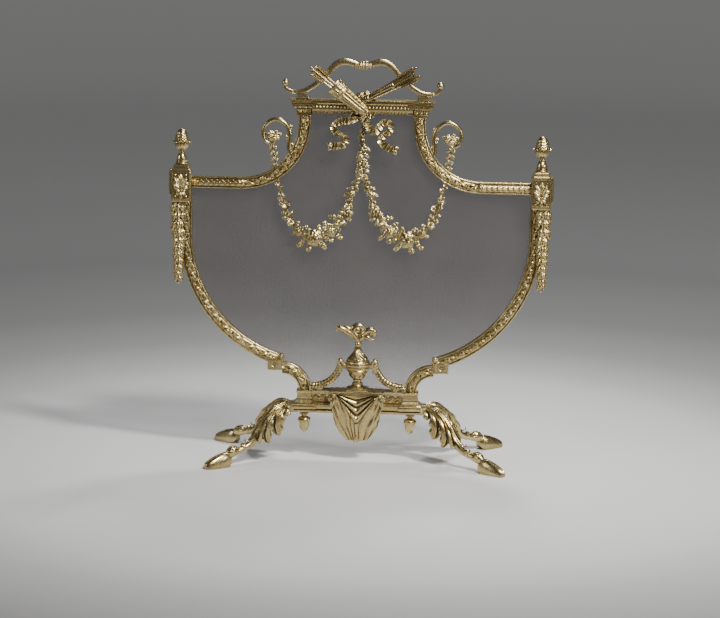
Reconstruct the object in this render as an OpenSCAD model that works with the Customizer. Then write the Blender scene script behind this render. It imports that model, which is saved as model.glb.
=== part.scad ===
// Gilt-bronze fireplace screen: a shield-shaped gauze panel in a cast frame on four hoofed legs.
// Millimetres. +X is the viewer's right, -Y is the front, +Z is up, and z = 0 is the hearth.
// The origin lies on the hearth, midway between the four hooves.

/* [Feet and base] */
// Distance from the centre line to each base pad
pad_x = 104.5; // [100:0.5:108]
// Width of a base pad at its foot
pad_w = 48; // [44:1:50]
// Height of the flat bar that ties the legs together, at its underside
base_z = 90; // [85:1:95]
// How far out each toe reaches from the centre line
toe_x = 290; // [270:1:300]
// How far forward or back each toe reaches
toe_y = 123; // [100:1:130]

/* [Frame] */
// Width of the frame bars across their face
bar_w = 20; // [18:0.5:22]
// Distance from the centre line to the upright of each side bar
side_x = 336; // [334:1:340]
// Radius of the big lower sweep of each side bar
side_r = 260; // [255:1:265]
// Height at which the lower sweep begins
side_z = 440; // [430:1:445]
// Height of the level part of the shoulder bars
shoulder_z = 544; // [540:1:548]
// Radius of the hollow curve of each shoulder bar
shoulder_r = 121; // [118:1:123]
// Distance from the centre line to the neck of each shoulder bar
neck_x = 111; // [109:0.5:113]

/* [Corner blocks and finials] */
// Distance from the centre line to each corner block
block_x = 348; // [347:0.5:349]
// Width of a corner block
block_w = 38; // [37:0.5:40]
// Underside of the corner blocks
block_z = 507; // [505:1:510]
// Height of a corner block
block_h = 72; // [70:1:74]
// Height of a finial above its collar
finial_h = 65; // [60:1:70]
// Length of the husk pendant below each corner block
pendant_h = 165; // [150:1:170]

/* [Head] */
// Half width of the cornice
cornice_x = 140; // [138:1:142]
// Underside of the top rail
head_z = 683; // [682:1:684]
// Top of the cornice
cornice_z = 711; // [710:1:712]
// Height of the bow handle above the cornice
bow_h = 79; // [75:1:80]

/* [Threads] */
// Radius of the studs and tie bolts
stud_r = 3; // [2.5:0.1:3.5]
// Running clearance round the studs and bolts
thread_gap = 0.06; // [0.02:0.01:0.1]

/* [Gauze] */
// Thickness of the gauze panel
gauze_t = 0.6; // [0.5:0.1:1]
// Thickness of the retaining strips
strip_t = 3; // [2:0.5:4]

/* [Hidden] */
$fn = 64;

// Depths shared by the frame
front_y = -10;
back_y = 6;
crown_r = 11;
gauze_lap = 4;
strip_w = 8;

// Lower sweep, ear and scroll bracket
side_centre = [side_x - side_r, side_z];
ear_angle = 70;
ear_size = [24, 34];
ear_lift = 15;
scroll_r = 43;
scroll_w = 22;
pad_top = 136;
scroll_centre = [pad_x + scroll_r, pad_top];

// Shoulder bars
shoulder_centre = [neck_x + shoulder_r, shoulder_z + shoulder_r];
capital_x = 112;
capital_w = 52;
neck_z = 678;
rail_front = -18;

// Base
bar_t = 6;
pad_z = base_z + bar_t;
pad_depth = 44;
pad_edge = pad_x + pad_w / 2;
rail_depth = 32;
rail_top = 112;
frieze_top = 131;
cap_top = 137;
base_half = 142;
leg_screw = [135, 13];
leg_screw_r = 2.5;

// Legs, laid out along a line from the root to the toe
leg_root = [134, 12];
leg_angle = atan2(toe_y - leg_root.y, toe_x - leg_root.x);
leg_length = norm([toe_x - leg_root.x, toe_y - leg_root.y]);
hoof_length = 52;
hoof_half = 12;

// Apron and urn
apron_half = 50;
apron_t = 20;
apron_foot = 42;
urn_y = -18;
shelf_top = 141;
band_z = 186;
lid_z = 198;
flame_z = 238;

// Corner hardware
block_y = (back_y - 26) / 2;
block_top = block_z + block_h;
collar_t = 4;
thread_bore = stud_r + thread_gap;

// Screws that hold the retaining strips: [x, z] on one half of the frame
screw_r = 1.5;
screw_spots = [
    [45, 697], [neck_x, 668], arc_point(shoulder_centre, shoulder_r, 155),
    arc_point(shoulder_centre, shoulder_r, 115), [285, shoulder_z], [side_x, 470],
    arc_point(side_centre, side_r, 15), arc_point(side_centre, side_r, 40),
    arc_point(side_centre, side_r, 62), arc_point(scroll_centre, scroll_r, 225), [60, 134]
];

brass = "#c9a55c";
pale_brass = "#dcc078";
dark_brass = "#9c7a3a";
wire = "#8b8580";

// ---------------------------------------------------------------- helpers

// Point on a circle; angles run clockwise from the +X side, as seen from the front
function arc_point(centre, r, angle) = [centre.x + r * cos(angle), centre.y - r * sin(angle)];

// Rounded route through hand-set stations
function smooth(p, n) = [
    for (i = [0 : len(p) - 2], k = [0 : n - 1])
        let (t = k / n, a = p[max(i - 1, 0)], b = p[i], c = p[i + 1], d = p[min(i + 2, len(p) - 1)])
        (2 * b + (c - a) * t + (2 * a - 5 * b + 4 * c - d) * t * t
            + (3 * b - a - 3 * c + d) * t * t * t) / 2,
    p[len(p) - 1]
];

// Route that runs in from the left as the mirror image of its right half
function mirrored(half) = concat(
    [for (i = [len(half) - 1 : -1 : 1]) [-half[i][0], half[i][1], half[i][2], half[i][3]]], half
);

// Right-hand part as drawn, left-hand part as its mirror image
module sided(side) {
    if (side > 0) children();
    else mirror([1, 0, 0]) children();
}

// Solid with elliptical rings along stations of [x, z, half width, half depth]
module sweep(stations, sides = 12) {
    count = len(stations);
    rings = [
        for (i = [0 : count - 1])
            let (a = stations[max(i - 1, 0)], b = stations[min(i + 1, count - 1)],
                 dx = b[0] - a[0], dz = b[1] - a[1], l = norm([dx, dz]), s = stations[i])
            [for (k = [0 : sides - 1])
                [s[0] - dz / l * s[2] * cos(360 * k / sides), s[3] * sin(360 * k / sides),
                 s[1] + dx / l * s[2] * cos(360 * k / sides)]]
    ];
    walls = [
        for (i = [0 : count - 2], k = [0 : sides - 1], half = [0, 1])
            let (a = i * sides + k, b = i * sides + (k + 1) % sides)
            half == 0 ? [a, b, a + sides] : [b, b + sides, a + sides]
    ];
    start = [for (k = [sides - 1 : -1 : 0]) k];
    end = [for (k = [0 : sides - 1]) (count - 1) * sides + k];
    polyhedron([for (ring = rings) each ring], concat([start], walls, [end]));
}

// Face of a bar: x runs across it and y from the rounded front to the flat back
module bar_section(w = bar_w) {
    intersection() {
        translate([0, front_y + crown_r]) circle(crown_r * w / bar_w + (w - bar_w) / 2);
        translate([-w / 2, front_y]) square([w, -front_y]);
    }
    translate([-w / 2, front_y + 6]) square([w, back_y - front_y - 6]);
}

module strip_section() {
    translate([-strip_w / 2, back_y + gauze_t]) square([strip_w, strip_t]);
}

// Bends a section round an arc that starts and ends at the given angles
module bend(centre, r, from, to) {
    translate([centre.x, 0, centre.y]) rotate([-90, 0, 0]) rotate([0, 0, from])
        rotate_extrude(angle = to - from, $fn = 128) translate([r, 0]) children();
}

module upright(x, from, to) {
    translate([x, 0, from]) linear_extrude(to - from) children();
}

module level(from, to, z) {
    translate([from, 0, z]) rotate([0, 90, 0]) linear_extrude(to - from) children();
}

// Plate drawn in x and z, from y = from to y = to
module plate(from, to) {
    translate([0, to, 0]) rotate([90, 0, 0]) linear_extrude(to - from) children();
}

module screw_shanks() {
    for (p = screw_spots)
        translate([p.x, back_y - 6, p.y]) rotate([-90, 0, 0]) cylinder(r = screw_r, h = 16);
}

module bead(r, x, y, z) {
    translate([x, y, z]) sphere(r);
}

// ---------------------------------------------------------------- base

module base_bar() {
    color(dark_brass) difference() {
        union() {
            translate([-base_half, -rail_depth / 2, base_z]) cube([2 * base_half, rail_depth, bar_t]);
            for (s = [-1, 1]) sided(s) translate([pad_x - pad_w / 2, -24, base_z])
                cube([base_half - pad_x + pad_w / 2, 48, bar_t]);
        }
        for (s = [-1, 1]) {
            translate([s * pad_x, 0, base_z - 1]) cylinder(r = stud_r, h = bar_t + 2);
            for (t = [-1, 1])
                translate([s * leg_screw.x, t * leg_screw.y, base_z - 1])
                    cylinder(r = leg_screw_r, h = bar_t + 2);
        }
    }
}

module base_rail() {
    half = pad_x - pad_w / 2;
    color(brass) translate([-half, -rail_depth / 2, pad_z])
        cube([2 * half, rail_depth, rail_top - pad_z]);
}

module base_frieze() {
    half = pad_x - 15;
    pitch = 15;
    color(pale_brass) difference() {
        union() {
            translate([-half, -6, rail_top]) cube([2 * half, 12, frieze_top - rail_top]);
            translate([-half, -rail_depth / 2, frieze_top])
                cube([2 * half, rail_depth / 2 + back_y, cap_top - frieze_top]);
        }
        for (s = [-1, 1], i = [0 : 1])
            translate([s * (60 + pitch * i), -7, (rail_top + frieze_top) / 2])
                rotate([-90, 0, 0]) cylinder(r = 5.5, h = 14);
        for (s = [-1, 1]) sided(s) {
            screw_shanks();
            pad_body();
        }
    }
}

// Outline of a base pad, from its foot to its top moulding
module pad_outline() {
    foot = pad_w / 2;
    polygon([
        [-foot, pad_z], [foot, pad_z], [foot, 108],
        for (a = [0 : 15 : 90]) [foot - 9 * sin(a), 118 - 10 * cos(a)],
        [15, 121], [15, pad_top - 3], [14, pad_top - 3], [14, pad_top],
        [-14, pad_top], [-14, pad_top - 3], [-15, pad_top - 3], [-15, 121],
        for (a = [90 : -15 : 0]) [-foot + 9 * sin(a), 118 - 10 * cos(a)],
        [-foot, 108]
    ]);
}

module pad_body() {
    translate([pad_x, 0, 0]) plate(-pad_depth / 2, pad_depth / 2) pad_outline();
}

module base_pad(side) {
    color(brass) sided(side) difference() {
        pad_body();
        translate([pad_x, 0, pad_z - 1]) cylinder(r = stud_r, h = 25);
    }
}

// Leg in its own upright plane: s is the distance from the root, the toe is at leg_length
module leg_shape() {
    hoof = leg_length - hoof_length;
    sweep(smooth([
        [-2, 104, 7, 8], [10, 106, 8, 11], [26, 101, 9, 14], [44, 86, 9, 14], [60, 65, 8, 12],
        [76, 46, 7, 9], [96, 32, 6, 7], [118, 25, 6, 6.5], [hoof - 4, 23, 7, 8], [hoof + 6, 20, 7, 8]
    ], 4), 14);
    intersection() {
        plate(-hoof_half, hoof_half) polygon([
            [hoof - 4, 0], [leg_length - 2, 0], [leg_length, 3], [leg_length - 10, 12],
            [leg_length - 26, 22], [hoof + 12, 29], [hoof - 2, 27], [hoof - 6, 12]
        ]);
        linear_extrude(40) union() {
            translate([hoof + 4, 0]) circle(hoof_half - 1);
            translate([hoof + 4, -hoof_half + 2]) square([26, 2 * hoof_half - 4]);
            translate([leg_length - 22, 0]) circle(hoof_half - 2);
            polygon([[leg_length - 22, 10], [leg_length, 3], [leg_length, -3], [leg_length - 22, -10]]);
        }
    }
}

module leg(side, back) {
    color(pale_brass) sided(side) mirror([0, back < 0 ? 1 : 0, 0]) difference() {
        union() {
            translate([leg_root.x, leg_root.y, 0]) rotate([0, 0, leg_angle]) difference() {
                leg_shape();
                translate([-20, -40, 90]) cube([18.5, 80, 40]);
            }
            translate([pad_edge, 2, pad_z]) cube([base_half - pad_edge, 20, 15]);
        }
        translate([0, -60, 80]) cube([pad_edge, 120, 60]);
        translate([0, -60, 80]) cube([base_half + 1, 120, pad_z - 80]);
        translate([0, -58, 90]) cube([200, 60, 60]);
        translate([leg_screw.x, leg_screw.y, pad_z - 1]) cylinder(r = leg_screw_r, h = 11);
    }
}

module leg_screws() {
    color(dark_brass) for (s = [-1, 1], t = [-1, 1])
        translate([s * leg_screw.x, t * leg_screw.y, 0]) {
            translate([0, 0, base_z - 3.5]) difference() {
                cylinder(r = 4.5, h = 3.5);
                translate([-5, -0.6, -1]) cube([10, 1.2, 2]);
            }
            translate([0, 0, base_z]) cylinder(r = leg_screw_r, h = pad_z + 10 - base_z);
        }
}

module tie_bolt(side) {
    color(dark_brass) translate([side * pad_x, 0, base_z - 22]) cylinder(r = stud_r, h = 51);
}

module acorn_collar(side) {
    color(brass) translate([side * pad_x, 0, base_z - collar_t]) difference() {
        cylinder(r = 9, h = collar_t);
        translate([0, 0, -1]) cylinder(r = thread_bore, h = collar_t + 2);
    }
}

// Acorn that points down, its cap at the top and its bore open upwards
module acorn_nut(side) {
    color(pale_brass) translate([side * pad_x, 0, base_z - collar_t]) difference() {
        rotate_extrude() polygon([
            [0, 0], [9.5, 0], [10, -3], [9.5, -7], [8.5, -8],
            for (a = [0 : 10 : 90]) [8.5 * cos(a), -8 - 21 * sin(a)]
        ]);
        translate([0, 0, -23]) cylinder(r = thread_bore, h = 24);
    }
}

// ---------------------------------------------------------------- apron and urn

module apron() {
    color(pale_brass) plate(-rail_depth / 2 - apron_t, -rail_depth / 2) polygon([
        for (s = [1, -1], k = [0 : 10])
            let (t = s > 0 ? k / 10 : 1 - k / 10)
            [s * (apron_half - 38 * t * t * t - 4 * t), cap_top - (cap_top - apron_foot) * t]
    ]);
}

module urn_shelf() {
    color(brass) translate([-apron_half - 3, -rail_depth / 2 - apron_t - 2, cap_top])
        cube([2 * apron_half + 6, rail_depth / 2 + apron_t + 4, shelf_top - cap_top]);
}

module urn_body() {
    color(pale_brass) translate([0, urn_y, 0]) {
        translate([-22, -19, shelf_top]) cube([44, 38, 5]);
        rotate_extrude() polygon([
            [0, shelf_top + 5], [18, shelf_top + 5], [17, 150], [9, 154], [7, 159], [8, 164],
            for (a = [0 : 15 : 90]) [10 + 9 * sin(a), 180 - 16 * cos(a)],
            [21.5, band_z], [21.5, lid_z - 4], [20, lid_z], [0, lid_z]
        ]);
        for (s = [-1, 1]) translate([s * 27 - 9, -4, band_z]) cube([18, 8, 9]);
    }
}

module urn_lid() {
    color(pale_brass) translate([0, urn_y, 0]) rotate_extrude() polygon([
        [0, lid_z], [20, lid_z], [20, 202],
        for (a = [0 : 15 : 90]) [20 - 12 * sin(a), 226 - 24 * cos(a)],
        for (a = [-60 : 20 : 80]) [6.5 * cos(a), flame_z - 6.4 + 6.4 * sin(a)],
        [0, flame_z]
    ]);
}

module urn_flame() {
    color(pale_brass) translate([0, urn_y, 0]) {
        sweep(smooth([[0, flame_z, 3, 3], [1, 247, 7, 6], [4, 257, 10, 8], [2, 267, 6, 5],
            [-2, 272, 1.5, 1.5]], 4), 12);
        sweep(smooth([[2, 250, 3, 4], [-12, 258, 6, 6], [-24, 264, 6, 5], [-34, 262, 1.5, 2]], 4), 10);
        sweep(smooth([[2, 250, 3, 4], [16, 258, 6, 6], [26, 259, 6, 5], [33, 249, 1.5, 2]], 4), 10);
    }
}

// Laurel rope that hangs from an urn handle to a small scroll on the rail
module urn_swag(side) {
    end_x = 86;
    color(pale_brass) sided(side) translate([0, -14, 0]) difference() {
        union() {
            bend([end_x, 200], end_x - 34, 90, 180) circle(3.5);
            translate([34, 0, 200]) sphere(5);
            translate([end_x, 3.5, cap_top + 6]) rotate([90, 0, 0]) cylinder(r = 6, h = 7);
        }
        translate([20, -5 + urn_y + 14, band_z]) cube([16, 10, 9]);
        translate([0, -40, 100]) cube([200, 80, cap_top - 100]);
    }
}

// ---------------------------------------------------------------- frame

module lower_scroll(side) {
    start = arc_point(side_centre, side_r, ear_angle);
    color(brass) sided(side) difference() {
        union() {
            bend(scroll_centre, scroll_r, 180, 270) bar_section(scroll_w);
            translate([start.x, 0, start.y]) rotate([0, ear_angle, 0])
                plate(front_y, back_y) translate([-ear_lift, -ear_size.x]) square([ear_size.y, ear_size.x]);
        }
        screw_shanks();
    }
}

module side_bar(side) {
    color(brass) sided(side) difference() {
        union() {
            bend(side_centre, side_r, 0, ear_angle) bar_section();
            upright(side_x, side_z, block_z) bar_section();
        }
        screw_shanks();
    }
}

module top_bar(side) {
    color(brass) sided(side) difference() {
        union() {
            level(shoulder_centre.x, block_x - block_w / 2, shoulder_z) bar_section();
            bend(shoulder_centre, shoulder_r, 90, 180) bar_section();
            upright(neck_x, shoulder_centre.y, neck_z) bar_section();
        }
        screw_shanks();
    }
}

module corner_block(side) {
    half = block_w / 2;
    color(brass) sided(side) difference() {
        union() {
            plate(block_y - 16, back_y) translate([block_x, 0]) polygon([
                [-half + 2, block_z], [half - 2, block_z], [half, block_z + 6],
                for (a = [0 : 15 : 90]) [half - 6 + 6 * cos(a), block_top - 6 + 6 * sin(a)],
                for (a = [90 : 15 : 180]) [-half + 6 + 6 * cos(a), block_top - 6 + 6 * sin(a)],
                [-half, block_z + 6]
            ]);
            translate([block_x + half, block_y - 10, block_z + 13]) cube([4, 20, 50]);
            translate([block_x, block_y - 16, block_z + 36]) rotate([90, 0, 0]) cylinder(r = 12, h = 2);
        }
        translate([block_x, block_y, block_top - 24]) cylinder(r = stud_r, h = 25);
    }
}

// Chain of bell-shaped husks, thinning to a tip
module pendant(side) {
    husks = 8;
    color(pale_brass) sided(side) translate([block_x + 6, block_y + 2, 0]) sweep([
        for (i = [0 : husks - 1], k = [0 : 3])
            let (t = (i + k / 4) / husks, r = (5 + 3 * sin(60 + 100 * k / 4)) * (1 - 0.35 * t))
            [0, block_z - pendant_h * t, r, r * 0.8],
        [0, block_z - pendant_h, 1.5, 1.5]
    ], 12);
}

module finial_stud(side) {
    color(dark_brass) translate([side * block_x, block_y, block_top - 24])
        cylinder(r = stud_r, h = 24 + collar_t + 15);
}

module finial_collar(side) {
    color(brass) translate([side * block_x, block_y, block_top]) difference() {
        cylinder(r = 12.5, h = collar_t);
        translate([0, 0, -1]) cylinder(r = thread_bore, h = collar_t + 2);
    }
}

// Acorn on a bell-shaped foot, with a bore for its stud
module finial(side) {
    cup = 31;
    color(pale_brass) translate([side * block_x, block_y, block_top + collar_t]) difference() {
        rotate_extrude() polygon([
            [0, 0], [10.5, 0], [10.5, 3],
            for (a = [0 : 15 : 90]) [10.5 - 5.5 * sin(a), 17 - 13 * cos(a)],
            [5, 22], [8, 24], [8, 26], [5, 28], [11, cup], [16, 39], [15, 42],
            for (a = [0 : 10 : 90]) [14.5 * cos(a), 42 + (finial_h - 42) * sin(a)]
        ]);
        translate([0, 0, -1]) cylinder(r = thread_bore, h = 23);
    }
}

// ---------------------------------------------------------------- head

module capital(side) {
    steps = [[16, neck_z, 5], [13.5, neck_z + 5, 4], [17, neck_z + 9, 4], [20, neck_z + 13, 4],
        [23, neck_z + 17, 4], [26, neck_z + 21, cornice_z - 5 - neck_z - 21]];
    color(brass) sided(side) difference() {
        for (s = steps)
            translate([capital_x - s[0], rail_front + 26 - s[0], s[1]])
                cube([2 * s[0], back_y - rail_front - 26 + s[0], s[2]]);
        screw_shanks();
    }
}

module top_rail() {
    half = capital_x - capital_w / 2;
    color(brass) difference() {
        union() {
            translate([-half, -10, head_z]) cube([2 * half, 10 + back_y, cornice_z - 5 - head_z]);
            translate([-half, -13, head_z + 5]) cube([2 * half, 4, 4]);
            translate([-half, rail_front, head_z + 18]) cube([2 * half, 9, cornice_z - 5 - head_z - 18]);
        }
        for (s = [-1, 1]) sided(s) {
            screw_shanks();
            translate([capital_x - 23, -40, neck_z]) cube([60, 60, 21]);
        }
    }
}

module cornice_cap() {
    color(brass) translate([-cornice_x, rail_front - 2, cornice_z - 5])
        cube([2 * cornice_x, back_y - rail_front + 4, 5]);
}

module handle_pads() {
    color(brass) for (s = [-1, 1]) translate([s * 116 - 11, -13, cornice_z]) {
        cube([22, 16, 4]);
        translate([3, 2, 4]) cube([16, 12, 4]);
    }
}

// Cupid's bow that serves as the carrying handle
module bow_handle() {
    top = cornice_z + bow_h;
    half = [[0, top - 12, 4.5, 5], [12, top - 12, 4.5, 5], [20, top - 7, 4.5, 5],
        [35, top - 4.5, 4.5, 4.5], [49, top - 9, 4.5, 4.5], [61, top - 21, 4.2, 4.5],
        [72, top - 34, 4, 4.2], [86, top - 47, 3.8, 4], [100, top - 58, 3.6, 4],
        [114, top - 66, 3.5, 4], [128, top - 68.5, 3.3, 3.6], [141, top - 66, 2.8, 3],
        [150, top - 58, 2.5, 2.6], [152, top - 53, 2.5, 2.6]];
    color(pale_brass) translate([0, -5, 0]) {
        sweep(smooth(mirrored(half), 4), 12);
        for (s = [-1, 1]) bead(5, s * 150, 0, top - 50);
        for (x = [-10, 0, 10]) translate([x - 1.5, 0, top - 12]) rotate([0, 90, 0])
            cylinder(r = 6.5, h = 3);
    }
}

// Trophy pieces lean along these two directions
quiver_tip = [2, 686];
quiver_angle = 140;
quiver_length = 78;
sheaf_foot = [8, 692];
sheaf_angle = 36;

module along(start, angle) {
    translate([start.x, 0, start.y]) rotate([0, -angle, 0]) children();
}

module quiver() {
    color(brass) along(quiver_tip, quiver_angle) plate(-34, rail_front - 2) polygon([
        [-4, -6], [0, -9], [quiver_length - 8, -16], [quiver_length - 8, -18], [quiver_length, -18],
        [quiver_length, 18], [quiver_length - 8, 18], [quiver_length - 8, 16], [0, 9], [-4, 6]
    ]);
}

module quiver_arrows() {
    color(pale_brass) along(quiver_tip, quiver_angle) for (i = [-1 : 1]) translate([quiver_length, -27, 6 * i])
        rotate([0, 90, 0]) {
            cylinder(r = 2.2, h = 50);
            translate([-5, -1, 22]) cube([10, 2, 26]);
        }
}

module arrow_sheaf() {
    color(pale_brass) along(sheaf_foot, sheaf_angle) for (i = [-1, 1])
        translate([-4, rail_front - 5.5, 4 * i]) rotate([0, 90, 0]) {
            cylinder(r = 3.4, h = 92);
            translate([-5, -1.5, 84]) cube([10, 3, 34]);
        }
}

module rose_sprig() {
    color(pale_brass) for (x = [-4, 9, 21]) bead(8, x, -12, cornice_z + 7);
}

// ---------------------------------------------------------------- hanging ornament

garland_y = -4;

module ribbon_bow() {
    color(pale_brass) translate([0, -14, 0]) {
        sweep(smooth(mirrored([
            [0, 674, 4, 3], [16, 670, 5, 3], [38, 666, 6, 2.5], [53, 655, 6, 2.5], [46, 641, 6, 2.5],
            [39, 628, 6, 2.5], [50, 618, 6, 2.5], [66, 612, 4, 2]
        ]), 4), 10);
        bead(8.5, 0, 0, 676);
    }
}

module garland_drop() {
    color(pale_brass) translate([0, garland_y, 0]) sweep([
        for (k = [0 : 24])
            let (t = k / 24, r = 5.5 + 2.5 * sin(t * 360 * 5))
            [0, 672 - 116 * t, r, r]
    ], 12);
}

module garland(side) {
    color(pale_brass) sided(side) translate([0, garland_y, 0]) sweep(smooth([
        [2, 556, 5, 5], [18, 532, 6, 6], [26, 502, 8, 7], [36, 474, 9, 8], [57, 450, 11, 9],
        [90, 439, 16, 9.5], [120, 449, 11, 9], [137, 472, 9, 8], [148, 500, 8, 7], [156, 527, 6, 6],
        [163, 556, 4, 5]
    ], 4), 12);
}

// Ring that springs from the shoulder bar and ends in a rosette with a small sprig
module scroll_loop(side) {
    centre = [166, 640];
    r = 28;
    rosette = [174, 624];
    color(pale_brass) sided(side) {
        bend(centre, r, -232, 62) circle(3);
        translate([0, -1, 0]) sweep(smooth([[150, 619, 3, 3], [144, 611, 3.5, 3], [136, 602, 4, 3]], 3), 10);
        translate([rosette.x, 4, rosette.y]) rotate([90, 0, 0]) cylinder(r = 10, h = 9);
        translate([0, -1, 0]) sweep(smooth([[173, 620, 4, 4], [170, 600, 5, 4], [166, 578, 4, 4]], 3), 10);
    }
}

// ---------------------------------------------------------------- gauze

// Outline of the gauze, which laps behind the bars by gauze_lap past their centre lines
module gauze_outline() {
    lap = gauze_lap;
    translate([-neck_x - lap, side_z - side_r]) square([2 * (neck_x + lap), 700 - side_z + side_r]);
    difference() {
        translate([-shoulder_centre.x, shoulder_z - 30])
            square([2 * shoulder_centre.x, shoulder_centre.y - shoulder_z + 30]);
        for (s = [-1, 1]) translate([s * shoulder_centre.x, shoulder_centre.y]) circle(shoulder_r - lap);
    }
    translate([-side_x - lap, side_z]) square([2 * (side_x + lap), shoulder_z + lap - side_z]);
    intersection() {
        union() {
            for (s = [-1, 1]) translate([s * side_centre.x, side_centre.y]) circle(side_r + lap);
        }
        translate([-side_x - lap, side_z - side_r - lap]) square([2 * (side_x + lap), side_r + lap]);
    }
    translate([-pad_x + 16, frieze_top]) square([2 * pad_x - 32, 20]);
    difference() {
        translate([-scroll_centre.x, pad_top]) square([2 * scroll_centre.x, 70]);
        for (s = [-1, 1]) translate([s * scroll_centre.x, scroll_centre.y]) circle(scroll_r - lap);
    }
}

module gauze_panel() {
    color(wire) difference() {
        plate(back_y, back_y + gauze_t) gauze_outline($fn = 128);
        for (s = [-1, 1]) sided(s) screw_shanks();
    }
}

module mesh_retainer(side) {
    ear = arc_point(side_centre, side_r, ear_angle);
    link = norm(ear - [scroll_centre.x, scroll_centre.y + scroll_r]);
    color(dark_brass) sided(side) difference() {
        union() {
            level(0, neck_x + strip_w / 2, 694) strip_section();
            upright(neck_x, shoulder_centre.y, 694) strip_section();
            bend(shoulder_centre, shoulder_r, 90, 180) strip_section();
            level(shoulder_centre.x, side_x + strip_w / 2, shoulder_z) strip_section();
            upright(side_x, side_z, shoulder_z) strip_section();
            bend(side_centre, side_r, 0, ear_angle) strip_section();
            translate([scroll_centre.x, 0, scroll_centre.y + scroll_r])
                rotate([0, -atan2(ear.y - scroll_centre.y - scroll_r, ear.x - scroll_centre.x), 0])
                level(0, link, 0) strip_section();
            bend(scroll_centre, scroll_r, 180, 270) strip_section();
            level(0, pad_x - 16, 134) strip_section();
        }
        screw_shanks();
    }
}

module retainer_screws() {
    color(dark_brass) for (s = [-1, 1]) sided(s) for (p = screw_spots)
        translate([p.x, 0, p.y]) rotate([-90, 0, 0]) {
            translate([0, 0, back_y - 6]) cylinder(r = screw_r, h = gauze_t + strip_t + 6);
            translate([0, 0, back_y + gauze_t + strip_t]) difference() {
                cylinder(r = 3, h = 2);
                translate([-4, -0.4, 1]) cube([8, 0.8, 2]);
            }
        }
}

base_bar();
base_rail();
base_frieze();
base_pad(-1);  // base_pad_left
base_pad(1);  // base_pad_right
leg(-1, -1);  // leg_front_left
leg(1, -1);  // leg_front_right
leg(-1, 1);  // leg_back_left
leg(1, 1);  // leg_back_right
leg_screws();
tie_bolt(-1);  // tie_bolt_left
tie_bolt(1);  // tie_bolt_right
acorn_collar(-1);  // acorn_collar_left
acorn_collar(1);  // acorn_collar_right
acorn_nut(-1);  // acorn_nut_left
acorn_nut(1);  // acorn_nut_right
apron();
urn_shelf();
urn_body();
urn_lid();
urn_flame();
urn_swag(-1);  // urn_swag_left
urn_swag(1);  // urn_swag_right
lower_scroll(-1);  // lower_scroll_left
lower_scroll(1);  // lower_scroll_right
side_bar(-1);  // side_bar_left
side_bar(1);  // side_bar_right
corner_block(-1);  // corner_block_left
corner_block(1);  // corner_block_right
pendant(-1);  // pendant_left
pendant(1);  // pendant_right
finial_stud(-1);  // finial_stud_left
finial_stud(1);  // finial_stud_right
finial_collar(-1);  // finial_collar_left
finial_collar(1);  // finial_collar_right
finial(-1);  // finial_left
finial(1);  // finial_right
top_bar(-1);  // top_bar_left
top_bar(1);  // top_bar_right
capital(-1);  // capital_left
capital(1);  // capital_right
top_rail();
cornice_cap();
handle_pads();
bow_handle();
quiver();
quiver_arrows();
arrow_sheaf();
rose_sprig();
ribbon_bow();
garland_drop();
garland(-1);  // garland_left
garland(1);  // garland_right
scroll_loop(-1);  // scroll_loop_left
scroll_loop(1);  // scroll_loop_right
gauze_panel();
mesh_retainer(-1);  // mesh_retainer_left
mesh_retainer(1);  // mesh_retainer_right
retainer_screws();
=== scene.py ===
"""Looks of a gilt-bronze fireplace screen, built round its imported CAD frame.

Shapes are worked out in millimetres in the frame's own axes (+X right, -Y front, +Z up) and
turned into metres when an object is made. Places come from the CAD nodes' boxes.
"""
import math
import random

import bmesh
import bpy
import numpy as np
from mathutils import Matrix, Vector


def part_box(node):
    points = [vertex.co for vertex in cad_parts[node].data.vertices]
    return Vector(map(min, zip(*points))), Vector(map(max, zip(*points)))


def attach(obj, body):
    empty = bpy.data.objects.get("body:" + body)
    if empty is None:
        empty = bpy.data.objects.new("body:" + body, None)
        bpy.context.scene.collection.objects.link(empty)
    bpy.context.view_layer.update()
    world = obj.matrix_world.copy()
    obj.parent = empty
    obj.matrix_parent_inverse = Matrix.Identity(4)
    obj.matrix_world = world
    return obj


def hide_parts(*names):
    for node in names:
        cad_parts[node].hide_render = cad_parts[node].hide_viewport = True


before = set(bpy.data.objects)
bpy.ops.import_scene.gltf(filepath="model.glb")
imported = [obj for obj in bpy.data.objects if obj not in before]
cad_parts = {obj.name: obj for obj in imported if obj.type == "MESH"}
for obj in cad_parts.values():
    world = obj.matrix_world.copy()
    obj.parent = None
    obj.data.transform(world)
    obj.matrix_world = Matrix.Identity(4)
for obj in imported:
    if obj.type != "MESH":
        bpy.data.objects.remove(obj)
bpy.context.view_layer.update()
RNG = random.Random(11)
MM = 0.001
TAU = 2 * math.pi
SIDES = {"left": -1, "right": 1}
FRAME_LOOK = (30, "gilt_frame")     # sharp angle and material slot of the frame's plain castings
PETAL = dict(lobes=0, notch=0, sweep=0.0, across=7)
FRONT = np.array([0.0, -1.0, 0.0])
UP = np.array([0.0, 0.0, 1.0])


def box(node):
    """Lowest and highest corner of a CAD node, in millimetres."""
    low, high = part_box(node)
    return np.array(low) / MM, np.array(high) / MM


def seat(node, top=0):
    """Middle of a CAD node's underside, or of its top."""
    corners = box(node)
    low, high = corners
    return np.array([(low[0] + high[0]) / 2, (low[1] + high[1]) / 2, corners[top][2]])


# ------------------------------------------------------------------ mesh building

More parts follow.
